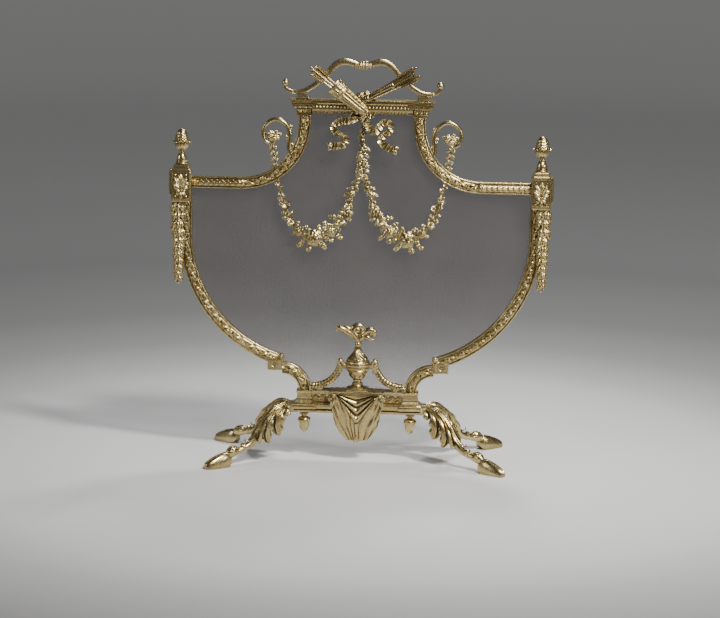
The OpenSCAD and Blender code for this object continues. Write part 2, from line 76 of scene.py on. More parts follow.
class Shape:
    """A mesh in millimetres that grows by adding vertices, quads and triangles."""

    def __init__(self):
        self.verts, self.quads, self.tris, self.count = [], [], [], 0

    def add(self, verts, quads=(), tris=()):
        verts = np.asarray(verts, float).reshape(-1, 3)
        if len(quads):
            self.quads.append(np.asarray(quads, int) + self.count)
        if len(tris):
            self.tris.append(np.asarray(tris, int) + self.count)
        self.verts.append(verts)
        self.count += len(verts)
        return self

    def join(self, other, origin=(0, 0, 0), along=(1, 0, 0), face=(0, 0, 1), size=1.0):
        """Adds another shape with its x axis along `along` and its z axis towards `face`."""
        x = unit(along)
        y = unit(np.cross(face, x))
        z = np.cross(x, y)
        verts = other.points() * size
        moved = verts[:, :1] * x + verts[:, 1:2] * y + verts[:, 2:3] * z + np.asarray(origin, float)
        quads = np.concatenate(other.quads) if other.quads else ()
        tris = np.concatenate(other.tris) if other.tris else ()
        return self.add(moved, quads, tris)

    def points(self):
        return np.concatenate(self.verts) if self.verts else np.zeros((0, 3))

    def mirrored(self, axis=0):
        flip = np.ones(3)
        flip[axis] = -1
        flipped = Shape()
        flipped.verts = [v * flip for v in self.verts]
        flipped.quads, flipped.tris, flipped.count = self.quads, self.tris, self.count
        return flipped


def unit(v):
    v = np.asarray(v, float)
    return v / np.maximum(np.linalg.norm(v, axis=-1, keepdims=True), 1e-9)


def tangents(path):
    return unit(np.gradient(path, axis=0))


def frame_along(path, up=FRONT):
    """Unit vectors along a path, across it, and out of it towards `up`."""
    t = tangents(path)
    across = unit(np.cross(t, np.broadcast_to(up, path.shape)))
    return t, across, np.cross(across, t)


def route_length(path):
    return np.linalg.norm(np.diff(path, axis=0), axis=1).sum()


def spokes(count, offset=0.0):
    """Evenly spaced unit vectors round the z axis."""
    return [np.array([math.cos(a), math.sin(a), 0.0]) for a in TAU * (np.arange(count) + offset) / count]


def resample(path, count):
    """The same route with evenly spaced points."""
    path = np.asarray(path, float)
    steps = np.linalg.norm(np.diff(path, axis=0), axis=1)
    s = np.concatenate([[0], np.cumsum(steps)])
    t = np.linspace(0, s[-1], count)
    return np.stack([np.interp(t, s, path[:, k]) for k in range(path.shape[1])], axis=1)


def smooth(points, steps=8):
    """Catmull-Rom curve through given points of any dimension."""
    p = np.asarray(points, float)
    p = np.concatenate([[2 * p[0] - p[1]], p, [2 * p[-1] - p[-2]]])
    out = []
    for i in range(1, len(p) - 2):
        a, b, c, d = p[i - 1:i + 3]
        for t in np.arange(steps) / steps:
            out.append((2 * b + (c - a) * t + (2 * a - 5 * b + 4 * c - d) * t ** 2
                        + (3 * b - a - 3 * c + d) * t ** 3) / 2)
    out.append(p[-2])
    return np.array(out)


def arc(centre, radius, start, end, step=1.5):
    """Points (x, z) on a circle; angles in degrees, clockwise from +X as seen from the front."""
    count = max(3, int(abs(math.radians(end - start)) * radius / step) + 1)
    a = np.radians(np.linspace(start, end, count))
    return np.stack([centre[0] + radius * np.cos(a), centre[1] - radius * np.sin(a)], axis=1)


def flat_path(points, y=0.0):
    """Turns points (x, z) into points (x, y, z)."""
    points = np.asarray(points, float)
    return np.stack([points[:, 0], np.full(len(points), y), points[:, 1]], axis=1)


def loft(rings, caps=True, closed=False):
    """Skin over rings of shape (stations, points per ring, 3)."""
    rings = np.asarray(rings, float)
    m, n = rings.shape[:2]
    last = m if closed else m - 1
    i, j = np.meshgrid(np.arange(last), np.arange(n), indexing="ij")
    nxt, jn = (i + 1) % m, (j + 1) % n
    quads = np.stack([i * n + j, i * n + jn, nxt * n + jn, nxt * n + j], axis=-1).reshape(-1, 4)
    verts = rings.reshape(-1, 3)
    tris = []
    if caps and not closed:
        verts = np.concatenate([verts, rings[0].mean(0)[None], rings[-1].mean(0)[None]])
        k = np.arange(n)
        first = np.stack([np.full(n, m * n), (k + 1) % n, k], axis=1)
        final = np.stack([np.full(n, m * n + 1), (m - 1) * n + k, (m - 1) * n + (k + 1) % n], axis=1)
        tris = np.concatenate([first, final])
    return Shape().add(verts, quads, tris)


def tube(path, radius, sides=12, depth=None, up=FRONT):
    """Round or oval bar along a path; `depth` is its half size towards `up`."""
    path = np.asarray(path, float)
    _, across, out = frame_along(path, up)
    r = np.broadcast_to(radius, len(path))[:, None, None]
    d = r if depth is None else np.broadcast_to(depth, len(path))[:, None, None]
    a = (TAU * np.arange(sides) / sides)[:, None]
    return loft(path[:, None] + across[:, None] * np.cos(a) * r + out[:, None] * np.sin(a) * d)


def ball(centre, radius, sides=14, stretch=1.0):
    """Sphere, stretched along z."""
    a = np.linspace(0, math.pi, sides // 2 + 1)[1:-1]
    return lathe([(radius * math.sin(t), -radius * stretch * math.cos(t)) for t in a], sides, centre)


def lathe(profile, sides=32, centre=(0, 0, 0), shape=None):
    """Turned form from (radius, z) points; `shape(angle, radius, z)` may change the radius."""
    profile = np.asarray(profile, float)
    a = TAU * np.arange(sides) / sides
    r = np.repeat(profile[:, :1], sides, 1)
    z = np.repeat(profile[:, 1:2], sides, 1)
    angle = np.repeat(a[None], len(profile), 0)
    if shape:
        r = shape(angle, r, z)
    rings = np.stack([r * np.cos(angle), r * np.sin(angle), z], axis=-1) + np.asarray(centre, float)
    return loft(rings)


def leaf(path, up, width, lobes=4, notch=0.35, dome=0.25, groove=0.1, thick=1.0, peak=0.8,
         sweep=0.35, stations=None, across=9):
    """Leaf with a midrib along a path, lobed edges that lean to the tip, and a grooved face."""
    stations = stations or max(10, 5 * lobes + 4)
    path = resample(path, stations)
    t, side, face = frame_along(path, up)
    u = np.linspace(0, 1, stations)
    outline = np.sin(math.pi * np.clip(u, 0.015, 0.985) ** peak) ** 0.7
    wave = np.cos(TAU * lobes * u) if lobes else np.zeros(stations)
    half = width / 2 * outline * (1 - notch * (0.5 + 0.5 * wave)) + 0.15
    v = np.linspace(-1, 1, across)
    lateral = v[None] * half[:, None]
    shift = sweep * half[:, None] * np.abs(v[None]) ** 1.6
    body = dome * half[:, None] * (1 - v[None] ** 2)
    ripple = -0.16 * half[:, None] * wave[:, None] * np.abs(v[None]) * (1 if lobes else 0)
    rib = groove * half[:, None] * np.exp(-(v[None] / 0.2) ** 2)
    top = path[:, None] + side[:, None] * lateral[..., None] + t[:, None] * shift[..., None]
    edge = thick * (1 - 0.55 * v[None] ** 2)
    front = top + face[:, None] * (body + ripple - rib)[..., None]
    back = top + face[:, None] * (body + ripple - edge)[..., None]
    return loft(np.concatenate([front, back[:, ::-1]], axis=1))


def arch(length, rise, count=12):
    """Path along x whose height is rise(s), with s from 0 to 1."""
    s = np.linspace(0, 1, count)
    return np.stack([length * s, 0 * s, rise(s)], axis=1)


def petal(length, width, cup=0.5):
    """Rounded petal in its own axes: grows along x, faces z, and curls up by `cup` radians."""
    s = np.linspace(0, 1, 8)
    path = np.stack([length * s * (1 - 0.25 * cup * s), 0 * s, length * 0.55 * math.sin(cup) * s ** 2], axis=1)
    return leaf(path, UP, width, thick=1.2, peak=1.5, stations=8, **PETAL, dome=-0.22, groove=-0.06)


def rose(radius):
    """Full-blown rose that faces z: a low dome of overlapping round petals about a rolled bud."""
    flower = lathe(radius * np.array([(0.8, -0.3), (0.72, 0.0), (0.4, 0.2), (0.02 / radius, 0.3)]), 20)
    for count, size, lift, tilt, turn in ((6, 1.06, -0.06, 0.16, 0.0), (5, 0.8, 0.12, 0.3, 0.5),
                                          (4, 0.54, 0.28, 0.5, 0.2)):
        path = arch(radius * size, lambda s: radius * (lift + tilt * s * (1.35 - s)), 8)
        one = leaf(path, UP, radius * size * 1.12, thick=1.3, peak=1.6, stations=8, **PETAL, dome=0.34, groove=0.12)
        for spoke in spokes(count, turn):
            flower.join(one, along=spoke)
    return flower.join(ball((0, 0, radius * 0.5), radius * 0.25, 10))


def daisy(radius, petals=6):
    path = arch(radius, lambda s: radius * 0.3 * s * (1.2 - s), 7)
    one = leaf(path, UP, radius * 0.8, thick=1.2, peak=1.5, stations=7, **PETAL, dome=0.4, groove=0.2)
    flower = Shape()
    for spoke in spokes(petals):
        flower.join(one, along=spoke + 0.05 * UP)
    return flower.join(ball((0, 0, radius * 0.2), radius * 0.27, 10))


def plain_leaf(length, width, curl=0.5, lobes=3):
    """Small garland leaf in its own axes: grows along x, faces z, its tip curls down."""
    path = arch(length, lambda s: length * curl * (0.35 * s - 0.5 * s ** 2))
    return leaf(path, UP, width, lobes=lobes, notch=0.2, dome=0.3, groove=0.3, thick=1.4, peak=0.9, sweep=0.2)


def hoop(radius, thick, count, sides=6):
    """Ring of round wire about the origin, in the xz plane."""
    rings = []
    for spoke in spokes(count):
        out = spoke[[0, 2, 1]]
        rings.append([radius * out + thick * (c * out - s * FRONT) for c, s, _ in spokes(sides)])
    return loft(rings, closed=True)


def rounded_block(low, high, bevel=1.0):
    """Box with bevelled edges, from its lowest to its highest corner."""
    low, high = np.asarray(low, float), np.asarray(high, float)
    b = min(bevel, *((high - low) / 2.5))
    levels = [(low[2], b), (low[2] + b, 0), (high[2] - b, 0), (high[2], b)]
    rings = []
    for z, inset in levels:
        x0, y0, x1, y1 = low[0] + inset, low[1] + inset, high[0] - inset, high[1] - inset
        rings.append([(x0 + b, y0, z), (x1 - b, y0, z), (x1, y0 + b, z), (x1, y1 - b, z),
                      (x1 - b, y1, z), (x0 + b, y1, z), (x0, y1 - b, z), (x0, y0 + b, z)])
    return loft(rings)


def moulded_rail(low_x, high_x, profile):
    """Straight moulding along x; the profile is a closed loop of (y, z)."""
    profile = np.asarray(profile, float)
    rings = [[(x, y, z) for y, z in profile] for x in (low_x, high_x)]
    return loft(rings)


def make(name, shape, material, body, nodes=(), sharp=38.0, slot="gilt_ornament"):
    """Turns a shape into an object that rides on a body and replaces CAD nodes."""
    verts = shape.points() * MM
    quads = np.concatenate(shape.quads) if shape.quads else np.zeros((0, 4), int)
    tris = np.concatenate(shape.tris) if shape.tris else np.zeros((0, 3), int)
    mesh = bpy.data.meshes.new(name)
    mesh.vertices.add(len(verts))
    mesh.vertices.foreach_set("co", verts.ravel())
    mesh.loops.add(quads.size + tris.size)
    mesh.loops.foreach_set("vertex_index", np.concatenate([quads.ravel(), tris.ravel()]))
    starts = np.concatenate([np.arange(len(quads)) * 4, quads.size + np.arange(len(tris)) * 3])
    mesh.polygons.add(len(starts))
    mesh.polygons.foreach_set("loop_start", starts)
    mesh.update(calc_edges=True)
    mesh.validate()
    work = bmesh.new()
    work.from_mesh(mesh)
    bmesh.ops.recalc_face_normals(work, faces=work.faces)
    work.to_mesh(mesh)
    work.free()
    mesh.shade_smooth()
    mesh.set_sharp_from_angle(angle=math.radians(sharp))
    mesh.materials.append(material)
    piece = bpy.data.objects.new(name, mesh)
    bpy.context.scene.collection.objects.link(piece)
    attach(piece, body)
    if nodes:
        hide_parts(*nodes)
    return piece


def cast(stem, shape, material, sharp=38.0, slot="gilt_ornament", side="", word="cast"):
    """Piece <stem>_<word>, fixed to the screen, which stands for the CAD node <stem>."""
    end = f"_{side}" if side else ""
    make(f"{stem}_{word}{end}", shape, material, "screen", [stem + end], sharp, slot)


def cast_pair(stem, shape, *look, **more):
    """The right-hand shape and its mirror image."""
    for side, sign in SIDES.items():
        cast(stem, shape if sign > 0 else shape.mirrored(), *look, side=side, **more)


# ------------------------------------------------------------------ materials

def new_material(name):
    """A node material, a function that sets a node's inputs, and one that adds a node."""
    material = bpy.data.materials.new(name)
    material.use_nodes = True
    tree = material.node_tree

    def feed(node, inputs):
        for key, value in inputs.items():
            if isinstance(value, bpy.types.NodeSocket):
                tree.links.new(value, node.inputs[key])
            else:
                node.inputs[key].default_value = value

    def add(kind, output, inputs, **settings):
        node = tree.nodes.new("ShaderNode" + kind)
        for key, value in settings.items():
            setattr(node, key, value)
        feed(node, inputs)
        return node.outputs[output]

    return material, feed, add, tree.nodes["Principled BSDF"]


def set_ramp(material, stops):
    """Sets the stops of the material's only colour ramp."""
    elements = next(n for n in material.node_tree.nodes if n.type == "VALTORGB").color_ramp.elements
    while len(elements) < len(stops):
        elements.new(0.5)
    for element, (place, colour) in zip(elements, stops):
        element.position, element.color = place, (*colour, 1)


def gilt(name, light=(0.67, 0.54, 0.265), deep=(0.066, 0.050, 0.020), rough=0.22, soil=1.0, brushed=False,
         reach=0.005):
    """Gilt bronze: bright worn edges, brown patina in the hollows, cloudy tone and a cast grain."""
    material, feed, add, shader = new_material(name)
    coords = add("TexCoord", "Object", {})

    def noise(scale, detail, stretch=(1, 1, 1)):
        place = add("Mapping", "Vector", {"Scale": stretch, "Vector": coords})
        return add("TexNoise", "Fac", {"Scale": scale, "Detail": detail, "Vector": place})

    def ramp(source, low, high, low_value=0.0, high_value=1.0):
        return add("MapRange", "Result", {"From Min": low, "From Max": high, "To Min": low_value,
                                          "To Max": high_value, "Value": source})

    def total(a, b):
        return add("Math", "Value", {0: a, 1: b}, operation="ADD", use_clamp=True)

    def blend(factor, a, b):
        a, b = ((*c, 1) if isinstance(c, tuple) else c for c in (a, b))
        return add("Mix", "Result", {"Factor": factor, "A": a, "B": b}, data_type="RGBA")

    open_face = ramp(add("AmbientOcclusion", "AO", {"Distance": reach}, samples=6), 0.22, 0.92)
    cloud, speck = noise(22, 4), noise(260, 6)
    grain = noise(900, 3, (1, 1, 0.25) if brushed else (1, 1, 1))
    tone = blend(ramp(cloud, 0.35, 0.68), light, tuple(c * f for c, f in zip(light, (0.83, 0.77, 0.66))))
    tone = blend(ramp(speck, 0.52, 0.8, 0.0, 0.45), tone, tuple(c * 0.55 for c in light))
    cover = total(open_face, ramp(cloud, 0.2, 0.8, 0.28 - 0.2 * soil, 0.12 - 0.1 * soil))
    relief = total(ramp(grain, 0.2, 0.8, 0.0, 0.5), ramp(speck, 0.2, 0.8, 0.0, 0.5))
    feed(shader, {
        "Metallic": 1.0,
        "Base Color": blend(cover, deep, tone),
        "Roughness": total(ramp(speck, 0.3, 0.75, rough, rough + 0.15), ramp(open_face, 0.0, 1.0, 0.22, 0.0)),
        "Normal": add("Bump", "Normal", {"Strength": 0.22, "Distance": 0.0004, "Height": relief}),
    })
    return material


def wire_cloth(name):
    """Oxidised steel wire with a little rust and soot."""
    material, feed, add, shader = new_material(name)
    soot = add("TexNoise", "Fac", {"Scale": 9, "Detail": 5, "Vector": add("TexCoord", "Object", {})})
    feed(shader, {"Metallic": 0.55, "Base Color": add("ValToRGB", "Color", {"Fac": soot}),
                  "Roughness": add("MapRange", "Result", {"To Min": 0.5, "To Max": 0.75, "Value": soot})})
    set_ramp(material, [(0.3, (0.064, 0.054, 0.048)), (0.72, (0.104, 0.089, 0.080))])
    return material


GILT = gilt("gilt_bronze")
GILT_RELIEF = gilt("gilt_relief", light=(0.66, 0.535, 0.265), rough=0.18, reach=0.012)
GILT_PLAIN = gilt("gilt_plain", light=(0.70, 0.57, 0.29), rough=0.22, soil=0.6, brushed=True)
BRASS_BACK = gilt("brass_back", light=(0.50, 0.40, 0.21), deep=(0.09, 0.066, 0.028), rough=0.42)
BRASS_SCREW = gilt("brass_screw", light=(0.58, 0.47, 0.25), deep=(0.08, 0.058, 0.025), rough=0.38, brushed=True)
WIRE = wire_cloth("wire_cloth")


# ------------------------------------------------------------------ frame bars

BAR_BACK = 6.0


def bar_section(width):
    """Section of a frame bar: distance across, depth, and how much relief each point carries."""
    half = width / 2
    crown = half - 3.6
    points = [(-half, BAR_BACK, 0), (-half, -3.4, 0)]
    points += [(-half + 1.8 - 1.8 * math.cos(a), -4.2 - 1.6 * math.sin(a), 0) for a in np.linspace(0.3, 2.8, 6)]
    points.append((-crown - 0.2, -3.8, 0))
    for a in np.linspace(math.pi, 0, 29)[1:-1]:
        points.append((crown * math.cos(a), -3.8 - 5.0 * math.sin(a) ** 0.75, math.sin(a) ** 0.45))
    points.append((crown + 0.2, -3.8, 0))
    points += [(half - 1.8 - 1.8 * math.cos(a), -4.2 - 1.8 * math.sin(a), 0) for a in np.linspace(0.4, 2.8, 6)]
    points += [(half, -3.4, 0), (half, BAR_BACK, 0)]
    return np.array(points, float)


def frame_bar(route, width, relief, inner=1, step=0.6):
    """Moulded bar along a route of (x, z); positive `across` points to the gauze."""
    route = resample(route, int(route_length(route) / step))
    t = tangents(route)
    inward = inner * np.stack([t[:, 1], -t[:, 0]], axis=1)
    section = bar_section(width)
    s = np.concatenate([[0], np.cumsum(np.linalg.norm(np.diff(route, axis=0), axis=1))])
    across = np.broadcast_to(section[:, 0], (len(route), len(section)))
    height = relief(np.repeat(s[:, None], len(section), 1), across) * section[:, 2]
    x = route[:, :1] + inward[:, :1] * across
    z = route[:, 1:] + inward[:, 1:] * across
    return loft(np.stack([x, section[:, 1] - height, z], axis=-1))


def laurel(s, across, pitch=10.5):
    """Row of overlapping laurel leaves: each rises to a tip that lies over the foot of the next."""
    height = np.zeros(np.shape(across))
    for centre, width, shift, rise in ((0.0, 4.6, 0.0, 3.4), (-5.4, 2.6, 0.5, 1.6), (5.4, 2.6, 0.5, 1.6)):
        for step in (0.0, 1.0):
            along = ((s / pitch + shift) % 1.0 + step) / 1.3
            q = np.abs(across - centre) / width
            blade = 1 - (q / np.maximum(np.sin(math.pi * np.clip(along, 0, 1) ** 0.8) ** 0.6, 0.05)) ** 2
            body = np.sqrt(np.clip(blade, 0, 1)) * 1.0 + rise * along - 0.6 * np.exp(-(q / 0.16) ** 2)
            height = np.maximum(height, np.where((blade > 0) & (along < 1), body, 0))
    return height - 0.8


def leaf_scroll(s, across, pitch=31.0):
    """Running acanthus: a wavy stem with one large curled leaf and a bud in each bend."""
    wave = 4.0 * np.sin(TAU * s / pitch)
    height = 3.4 * np.exp(-((across - wave) / 1.3) ** 2) - 2.0
    for half_turn, side in ((0.25, -1), (0.75, 1)):
        along = ((s / pitch - half_turn + 0.5) % 1.0 - 0.5) * pitch
        for offset, lift, tilt, size in ((-0.5, 1.8, 0.5, 8.6), (-7.4, 0.4, -0.3, 6.0), (6.0, 3.2, 1.0, 4.4)):
            a = along - offset
            b = across - side * lift
            p = a * math.cos(tilt) + side * b * math.sin(tilt)
            q = -a * math.sin(tilt) + side * b * math.cos(tilt)
            blade = 1 - (p / size) ** 2 - (q / (0.4 * size)) ** 2
            rib = 0.9 * np.exp(-(q / 0.5) ** 2)
            height = np.maximum(height, np.sqrt(np.clip(blade, 0, 1)) * 3.8 - rib * (blade > 0) - 1.9)
    return height


def top_relief(s, across):
    """Laurel on the level part of a top bar and running acanthus on its curve and upright."""
    level = np.clip((96 - s) / 3, 0, 1)
    knot = np.exp(-((s - 98) / 3.4) ** 2)
    return (level * laurel(s, across) + (1 - level) * leaf_scroll(s, across)) * (1 - knot) + 2.6 * knot


def side_route():
    centre, radius = SIDE_CENTRE, SIDE_R
    straight = np.array([(centre[0] + radius, BLOCK_Z), (centre[0] + radius, centre[1] + 1.0)])
    return np.concatenate([straight, arc(centre, radius, 0, EAR_ANGLE + 3)])


def top_route():
    centre, radius = SHOULDER_CENTRE, SHOULDER_R
    level = np.array([(BLOCK_INNER, centre[1] - radius), (centre[0] + 1.0, centre[1] - radius)])
    upright = np.array([(centre[0] - radius, centre[1] + 1.0), (centre[0] - radius, NECK_Z)])
    return np.concatenate([level, arc(centre, radius, 90, 180), upright])


pad_low, pad_high = box("base_pad_right")
block_low, block_high = box("corner_block_right")
side_high = box("side_bar_right")[1]
top_low = box("top_bar_right")[0]
capital_low, capital_high = box("capital_right")
cap_low, cap_high = box("cornice_cap")
BAR_W = 23.0
SIDE_R = 260.0
EAR_ANGLE = 70.0
SIDE_CENTRE = (side_high[0] - 6.0 - SIDE_R, block_low[2] - 63.0)
SHOULDER_R = 121.0
SHOULDER_CENTRE = (top_low[0] + 10.0 + SHOULDER_R, top_low[2] + 10.0 + SHOULDER_R)
PAD_X = (pad_low[0] + pad_high[0]) / 2
PAD_TOP = pad_high[2]
SCROLL_R = 43.0
SCROLL_CENTRE = (PAD_X + SCROLL_R, PAD_TOP)
BLOCK_Z = block_low[2]
BLOCK_INNER = block_low[0]
NECK_Z = capital_low[2]
QUIVER_ANGLE = math.radians(142)
QUIVER_TIP = np.array([7.0, 0.0, 689.0])
BASE_LIFT = 4.5     # the pads and the rail start this far above their CAD undersides


def build_bars():
    scroll = frame_bar(arc(SCROLL_CENTRE, SCROLL_R, 180, 272), BAR_W, leaf_scroll)
    angle = math.radians(EAR_ANGLE)
    corner = np.array([SIDE_CENTRE[0] + SIDE_R * math.cos(angle) - 5.0, 0,
                       SIDE_CENTRE[1] - SIDE_R * math.sin(angle) - 7.5])
    for x0, x1, z0, z1, front, back in ((-18, 14, -17, 7, -9.0, 0.8), (-14, 11, -13.5, 4, -11.4, 3),
                                        (-18, -8, 5, 14.5, -8.6, 1.6), (-15.5, -10.5, 4, 12, -10.6, 4)):
        scroll.join(rounded_block(corner + [x0, front, z0], corner + [x1, BAR_BACK - back, z1], 1.2))
    boss = Shape()
    for spoke in spokes(7):
        boss.join(petal(7.5, 6.5, 0.3), along=spoke + 0.1 * UP)
    boss.join(ball((0, 0, 1.0), 2.4, 10))
    scroll.join(boss, corner + FRONT * 11.6 - 4.0 * UP, (1, 0, 0), FRONT)
    for stem, shape in (("side_bar", frame_bar(side_route(), BAR_W, leaf_scroll)),
                        ("top_bar", frame_bar(top_route(), BAR_W, top_relief, inner=-1)), ("lower_scroll", scroll)):
        cast_pair(stem, shape, GILT, 36, "gilt_frame", word="relief")


# ------------------------------------------------------------------ corners, finials, pendants

def palmette(radius, count=7):
    """Fan of plump leaves that rises along x, in its own axes."""
    fan = Shape()
    for a in np.radians(np.linspace(-96, 96, count)):
        path = arch(radius * (1.0 - 0.4 * abs(a) / 1.68), lambda s: 1.0 + 1.8 * np.sin(math.pi * s ** 0.8))
        fan.join(leaf(path, UP, radius * 0.38, lobes=0, notch=0, dome=0.7, groove=0.3, thick=2.4, peak=1.5, sweep=0.0,
                      stations=12), along=(math.cos(a), math.sin(a), 0))
    return fan.join(ball((0, 0, 1.4), radius * 0.17, 12))


def corner_block():
    low, high = block_low.copy(), block_high.copy()
    outer = high[0] - 4.0
    front = low[1] + 2.0
    mid_x = (low[0] + outer) / 2
    half = (outer - low[0]) / 2
    shape = Shape()
    levels = [(0, 0.9), (1.5, 0.98), (6, 1.0), (58, 1.0), (62, 0.97), (64, 0.86), (66, 0.84), (70, 0.78), (72, 0.7)]
    rings = []
    for z, k in levels:
        h, b = half * k, 2.0
        y0, y1 = front + (1 - k) * 10, high[1]
        x0, x1 = mid_x - h, mid_x + h
        rings.append([(x0 + b, y0, low[2] + z), (x1 - b, y0, low[2] + z), (x1, y0 + b, low[2] + z),
                      (x1, y1, low[2] + z), (x0, y1, low[2] + z), (x0, y0 + b, low[2] + z)])
    shape.join(loft(np.array(rings)))
    shape.join(rounded_block((outer - 1, front + 5, low[2] + 13), (high[0], front + 25, low[2] + 63), 1.5))
    shape.join(rounded_block((outer - 1, front + 9, low[2] + 19), (high[0] + 1.2, front + 21, low[2] + 57), 1.0))
    face = np.array([mid_x, front, low[2]])
    for z0, z1, w in ((5, 7.5, half - 2), (56, 58.5, half - 2)):
        shape.join(rounded_block(face + [-w, -1.6, z0], face + [w, 1, z1], 0.8))
    for x0 in (-half + 1.5, half - 3.5):
        shape.join(rounded_block(face + [x0, -1.6, 5], face + [x0 + 2, 1, 58.5], 0.7))
    shape.join(palmette(25, 7), face + [0, -0.4, 30], UP, FRONT)
    shape.join(palmette(17, 5), face + [0, -0.4, 22], -UP, FRONT)
    shape.join(daisy(4.6, 7), face + [0, -2.2, 26], UP, FRONT)
    for x in (-1, 1):
        curl = arc((x * 8.0, 36.0), 5.0, -90, 170, 1.0)
        curl = resample(curl, 16)
        shape.join(tube(flat_path(curl, -1.0), np.linspace(1.6, 0.8, 16), 8), face)
        for z in (11, 53):
            shape.join(ball((x * 10.5, -0.8, z), 1.8, 8), face)
    return shape


def pinecone(angle, radius, z, base, height, rows=5.0, around=9):
    """Radius of a cone of overlapping scales."""
    t = (z - base) / height
    swirl = around * angle / TAU
    a = np.abs(((swirl + rows * t) % 1.0) - 0.5)
    b = np.abs(((swirl - rows * t) % 1.0) - 0.5)
    return radius * (1 + 0.17 * (np.minimum(a, b) * 2) ** 0.8 * (1 - 0.8 * t) - 0.02)


def finial_shape():
    """Turned bell foot, neck, gadrooned cup with a ring of spikes, and scaled acorn; z = 0 is the seat."""
    foot = [(11.0, 0), (11.7, 1.0), (11.6, 2.4), (10.2, 3.2), (10.0, 4.0), (10.3, 4.8), (10.0, 7.5), (9.2, 11.0),
            (7.9, 14.2), (6.2, 16.8), (5.2, 17.6), (5.9, 18.3), (5.7, 19.5), (4.0, 20.3), (3.7, 22.0), (4.6, 23.4)]
    shape = lathe(foot, 36)
    cup = [(4.6, 23.2)] + [(4.6 + 9.2 * math.sin(a), 38.5 - 14.5 * math.cos(a))
                           for a in np.linspace(0.25, math.pi / 2, 12)]
    shape.join(lathe(cup, 96, shape=lambda a, r, z: r * (1 + 0.07 * np.abs(np.cos(6 * a)))))
    top = [(13.0 * math.cos(a) ** 0.75, 38.5 + 26.0 * math.sin(a)) for a in np.linspace(0.0, 1.5, 44)]
    shape.join(lathe(top, 110, shape=lambda a, r, z: pinecone(a, r, z, 38.5, 26)))
    shape.join(ball((0, 0, 63.4), 1.7, 10, 1.3))
    for out in spokes(14):
        route = out * np.array([[11.6], [14.2], [16.4], [18.4]]) + UP * np.array([[36.6], [38.6], [39.2], [41.0]])
        shape.join(leaf(route, UP, 6.4, lobes=0, notch=0, dome=0.5, groove=0.15, thick=1.5, peak=0.75, stations=8,
                        across=7))
    s = np.linspace(0, 1, 8)[:, None]
    for out in spokes(9, 0.5):
        route = out * (5.2 + 9.4 * np.sin(1.45 * s)) + UP * (24.0 + 14.5 * s)
        shape.join(leaf(route, out - 0.4 * UP, 8.2, lobes=1, notch=0.15, dome=0.3, groove=0.25, thick=1.2,
                        stations=10, across=7))
    return shape


def collar_shape(radius, height):
    """Washer with a rounded rim; its hole shows nothing because a stud fills it."""
    rim = [(radius - 1.2, 0), (radius, 0.9), (radius, height * 0.45), (radius - 0.8, height * 0.6),
           (radius - 1.6, height - 0.2), (radius - 2.4, height)]
    return lathe(rim, 48)


def acorn_shape():
    """Hanging acorn; z = 0 is its seat and it grows downwards."""
    shape = lathe([(5.0, 0), (5.0, -4.4), (8.8, -5.6), (11.4, -8.2), (12.2, -11.6), (12.0, -14.0), (9.4, -15.2)], 60,
                  shape=lambda a, r, z: r * (1 + 0.045 * np.sin(15 * a + 1.9 * z) * np.sin(15 * a - 1.9 * z)))
    body = [(10.2 * math.cos(a) ** 0.72, -14.2 - 21.0 * math.sin(a)) for a in np.linspace(0, 1.52, 18)]
    shape.join(lathe(body, 36))
    shape.join(ball((0, 0, -35.2), 1.7, 8, 1.3))
    return shape


def leaf_blade(length, width):
    """Thick, strongly arched leaf in its own axes: grows along x, faces z."""
    path = arch(length, lambda s: 0.16 * length * np.sin(math.pi * s))
    return leaf(path, UP, width, lobes=3, notch=0.16, dome=0.55, groove=0.5, thick=2.2, peak=0.9, sweep=0.15)


def pendant():
    """Tapering trail of overlapping leaves, buds and berries, which hangs below a corner block."""
    low, high = box("pendant_right")
    x, y = (low[0] + high[0]) / 2, (low[1] + high[1]) / 2
    shape = tube(np.array([[x, y + 1, high[2]], [x, y + 1, low[2] + 4]]), [5.0, 1.8], 12)
    z, k = high[2] + 3, 0
    while z > low[2] + 12:
        t = (high[2] - z) / (high[2] - low[2])
        size = (1.2 - 0.58 * t) * RNG.uniform(0.92, 1.1)
        lean = RNG.uniform(-0.14, 0.14)
        for s in (-1, 1):
            blade = unit([s * RNG.uniform(0.2, 0.4) + lean, -0.1, -1])
            shape.join(leaf_blade(27 * size, 11.5 * size), (x + s * 2.0 * size, y - 1.5, z + RNG.uniform(-2, 2)),
                       blade, FRONT + s * RNG.uniform(0.4, 0.9) * np.array([1, 0, 0]))
        shape.join(leaf_blade(20 * size, 10.5 * size), (x + lean * 10, y - 5.0, z - 2), unit([lean, -0.05, -1]),
                   FRONT)
        if k % 2:
            for dx, dz in ((-2.6, 0), (2.8, -1.5)):
                shape.join(ball((x + dx * size, y - 6.4, z - 3 + dz), 2.6 * size, 10))
        z -= 15.5 * size
        k += 1
    shape.join(ball((x, y - 1, low[2] + 5), 3.0, 12, 1.6))
    return shape


def build_corners():
    finial, acorn = finial_shape(), acorn_shape()
    cast_pair("corner_block", corner_block(), GILT, *FRAME_LOOK)
    cast_pair("pendant", pendant(), GILT, word="husks")
    for side in SIDES:
        for stem, node, shape, top in (("finial", f"finial_{side}", finial, 0),
                                       ("acorn", f"acorn_nut_{side}", acorn, 1)):
            make(f"{stem}_cast_{side}", Shape().join(shape, seat(node, top)), GILT_RELIEF, node, [node])
        for node, radius in ((f"finial_collar_{side}", 12.5), (f"acorn_collar_{side}", 9.0)):
            low, high = box(node)
            collar = Shape().join(collar_shape(radius, high[2] - low[2]), seat(node))
            make(f"{node}_turned", collar, GILT_PLAIN, node, [node], *FRAME_LOOK)


# ------------------------------------------------------------------ head

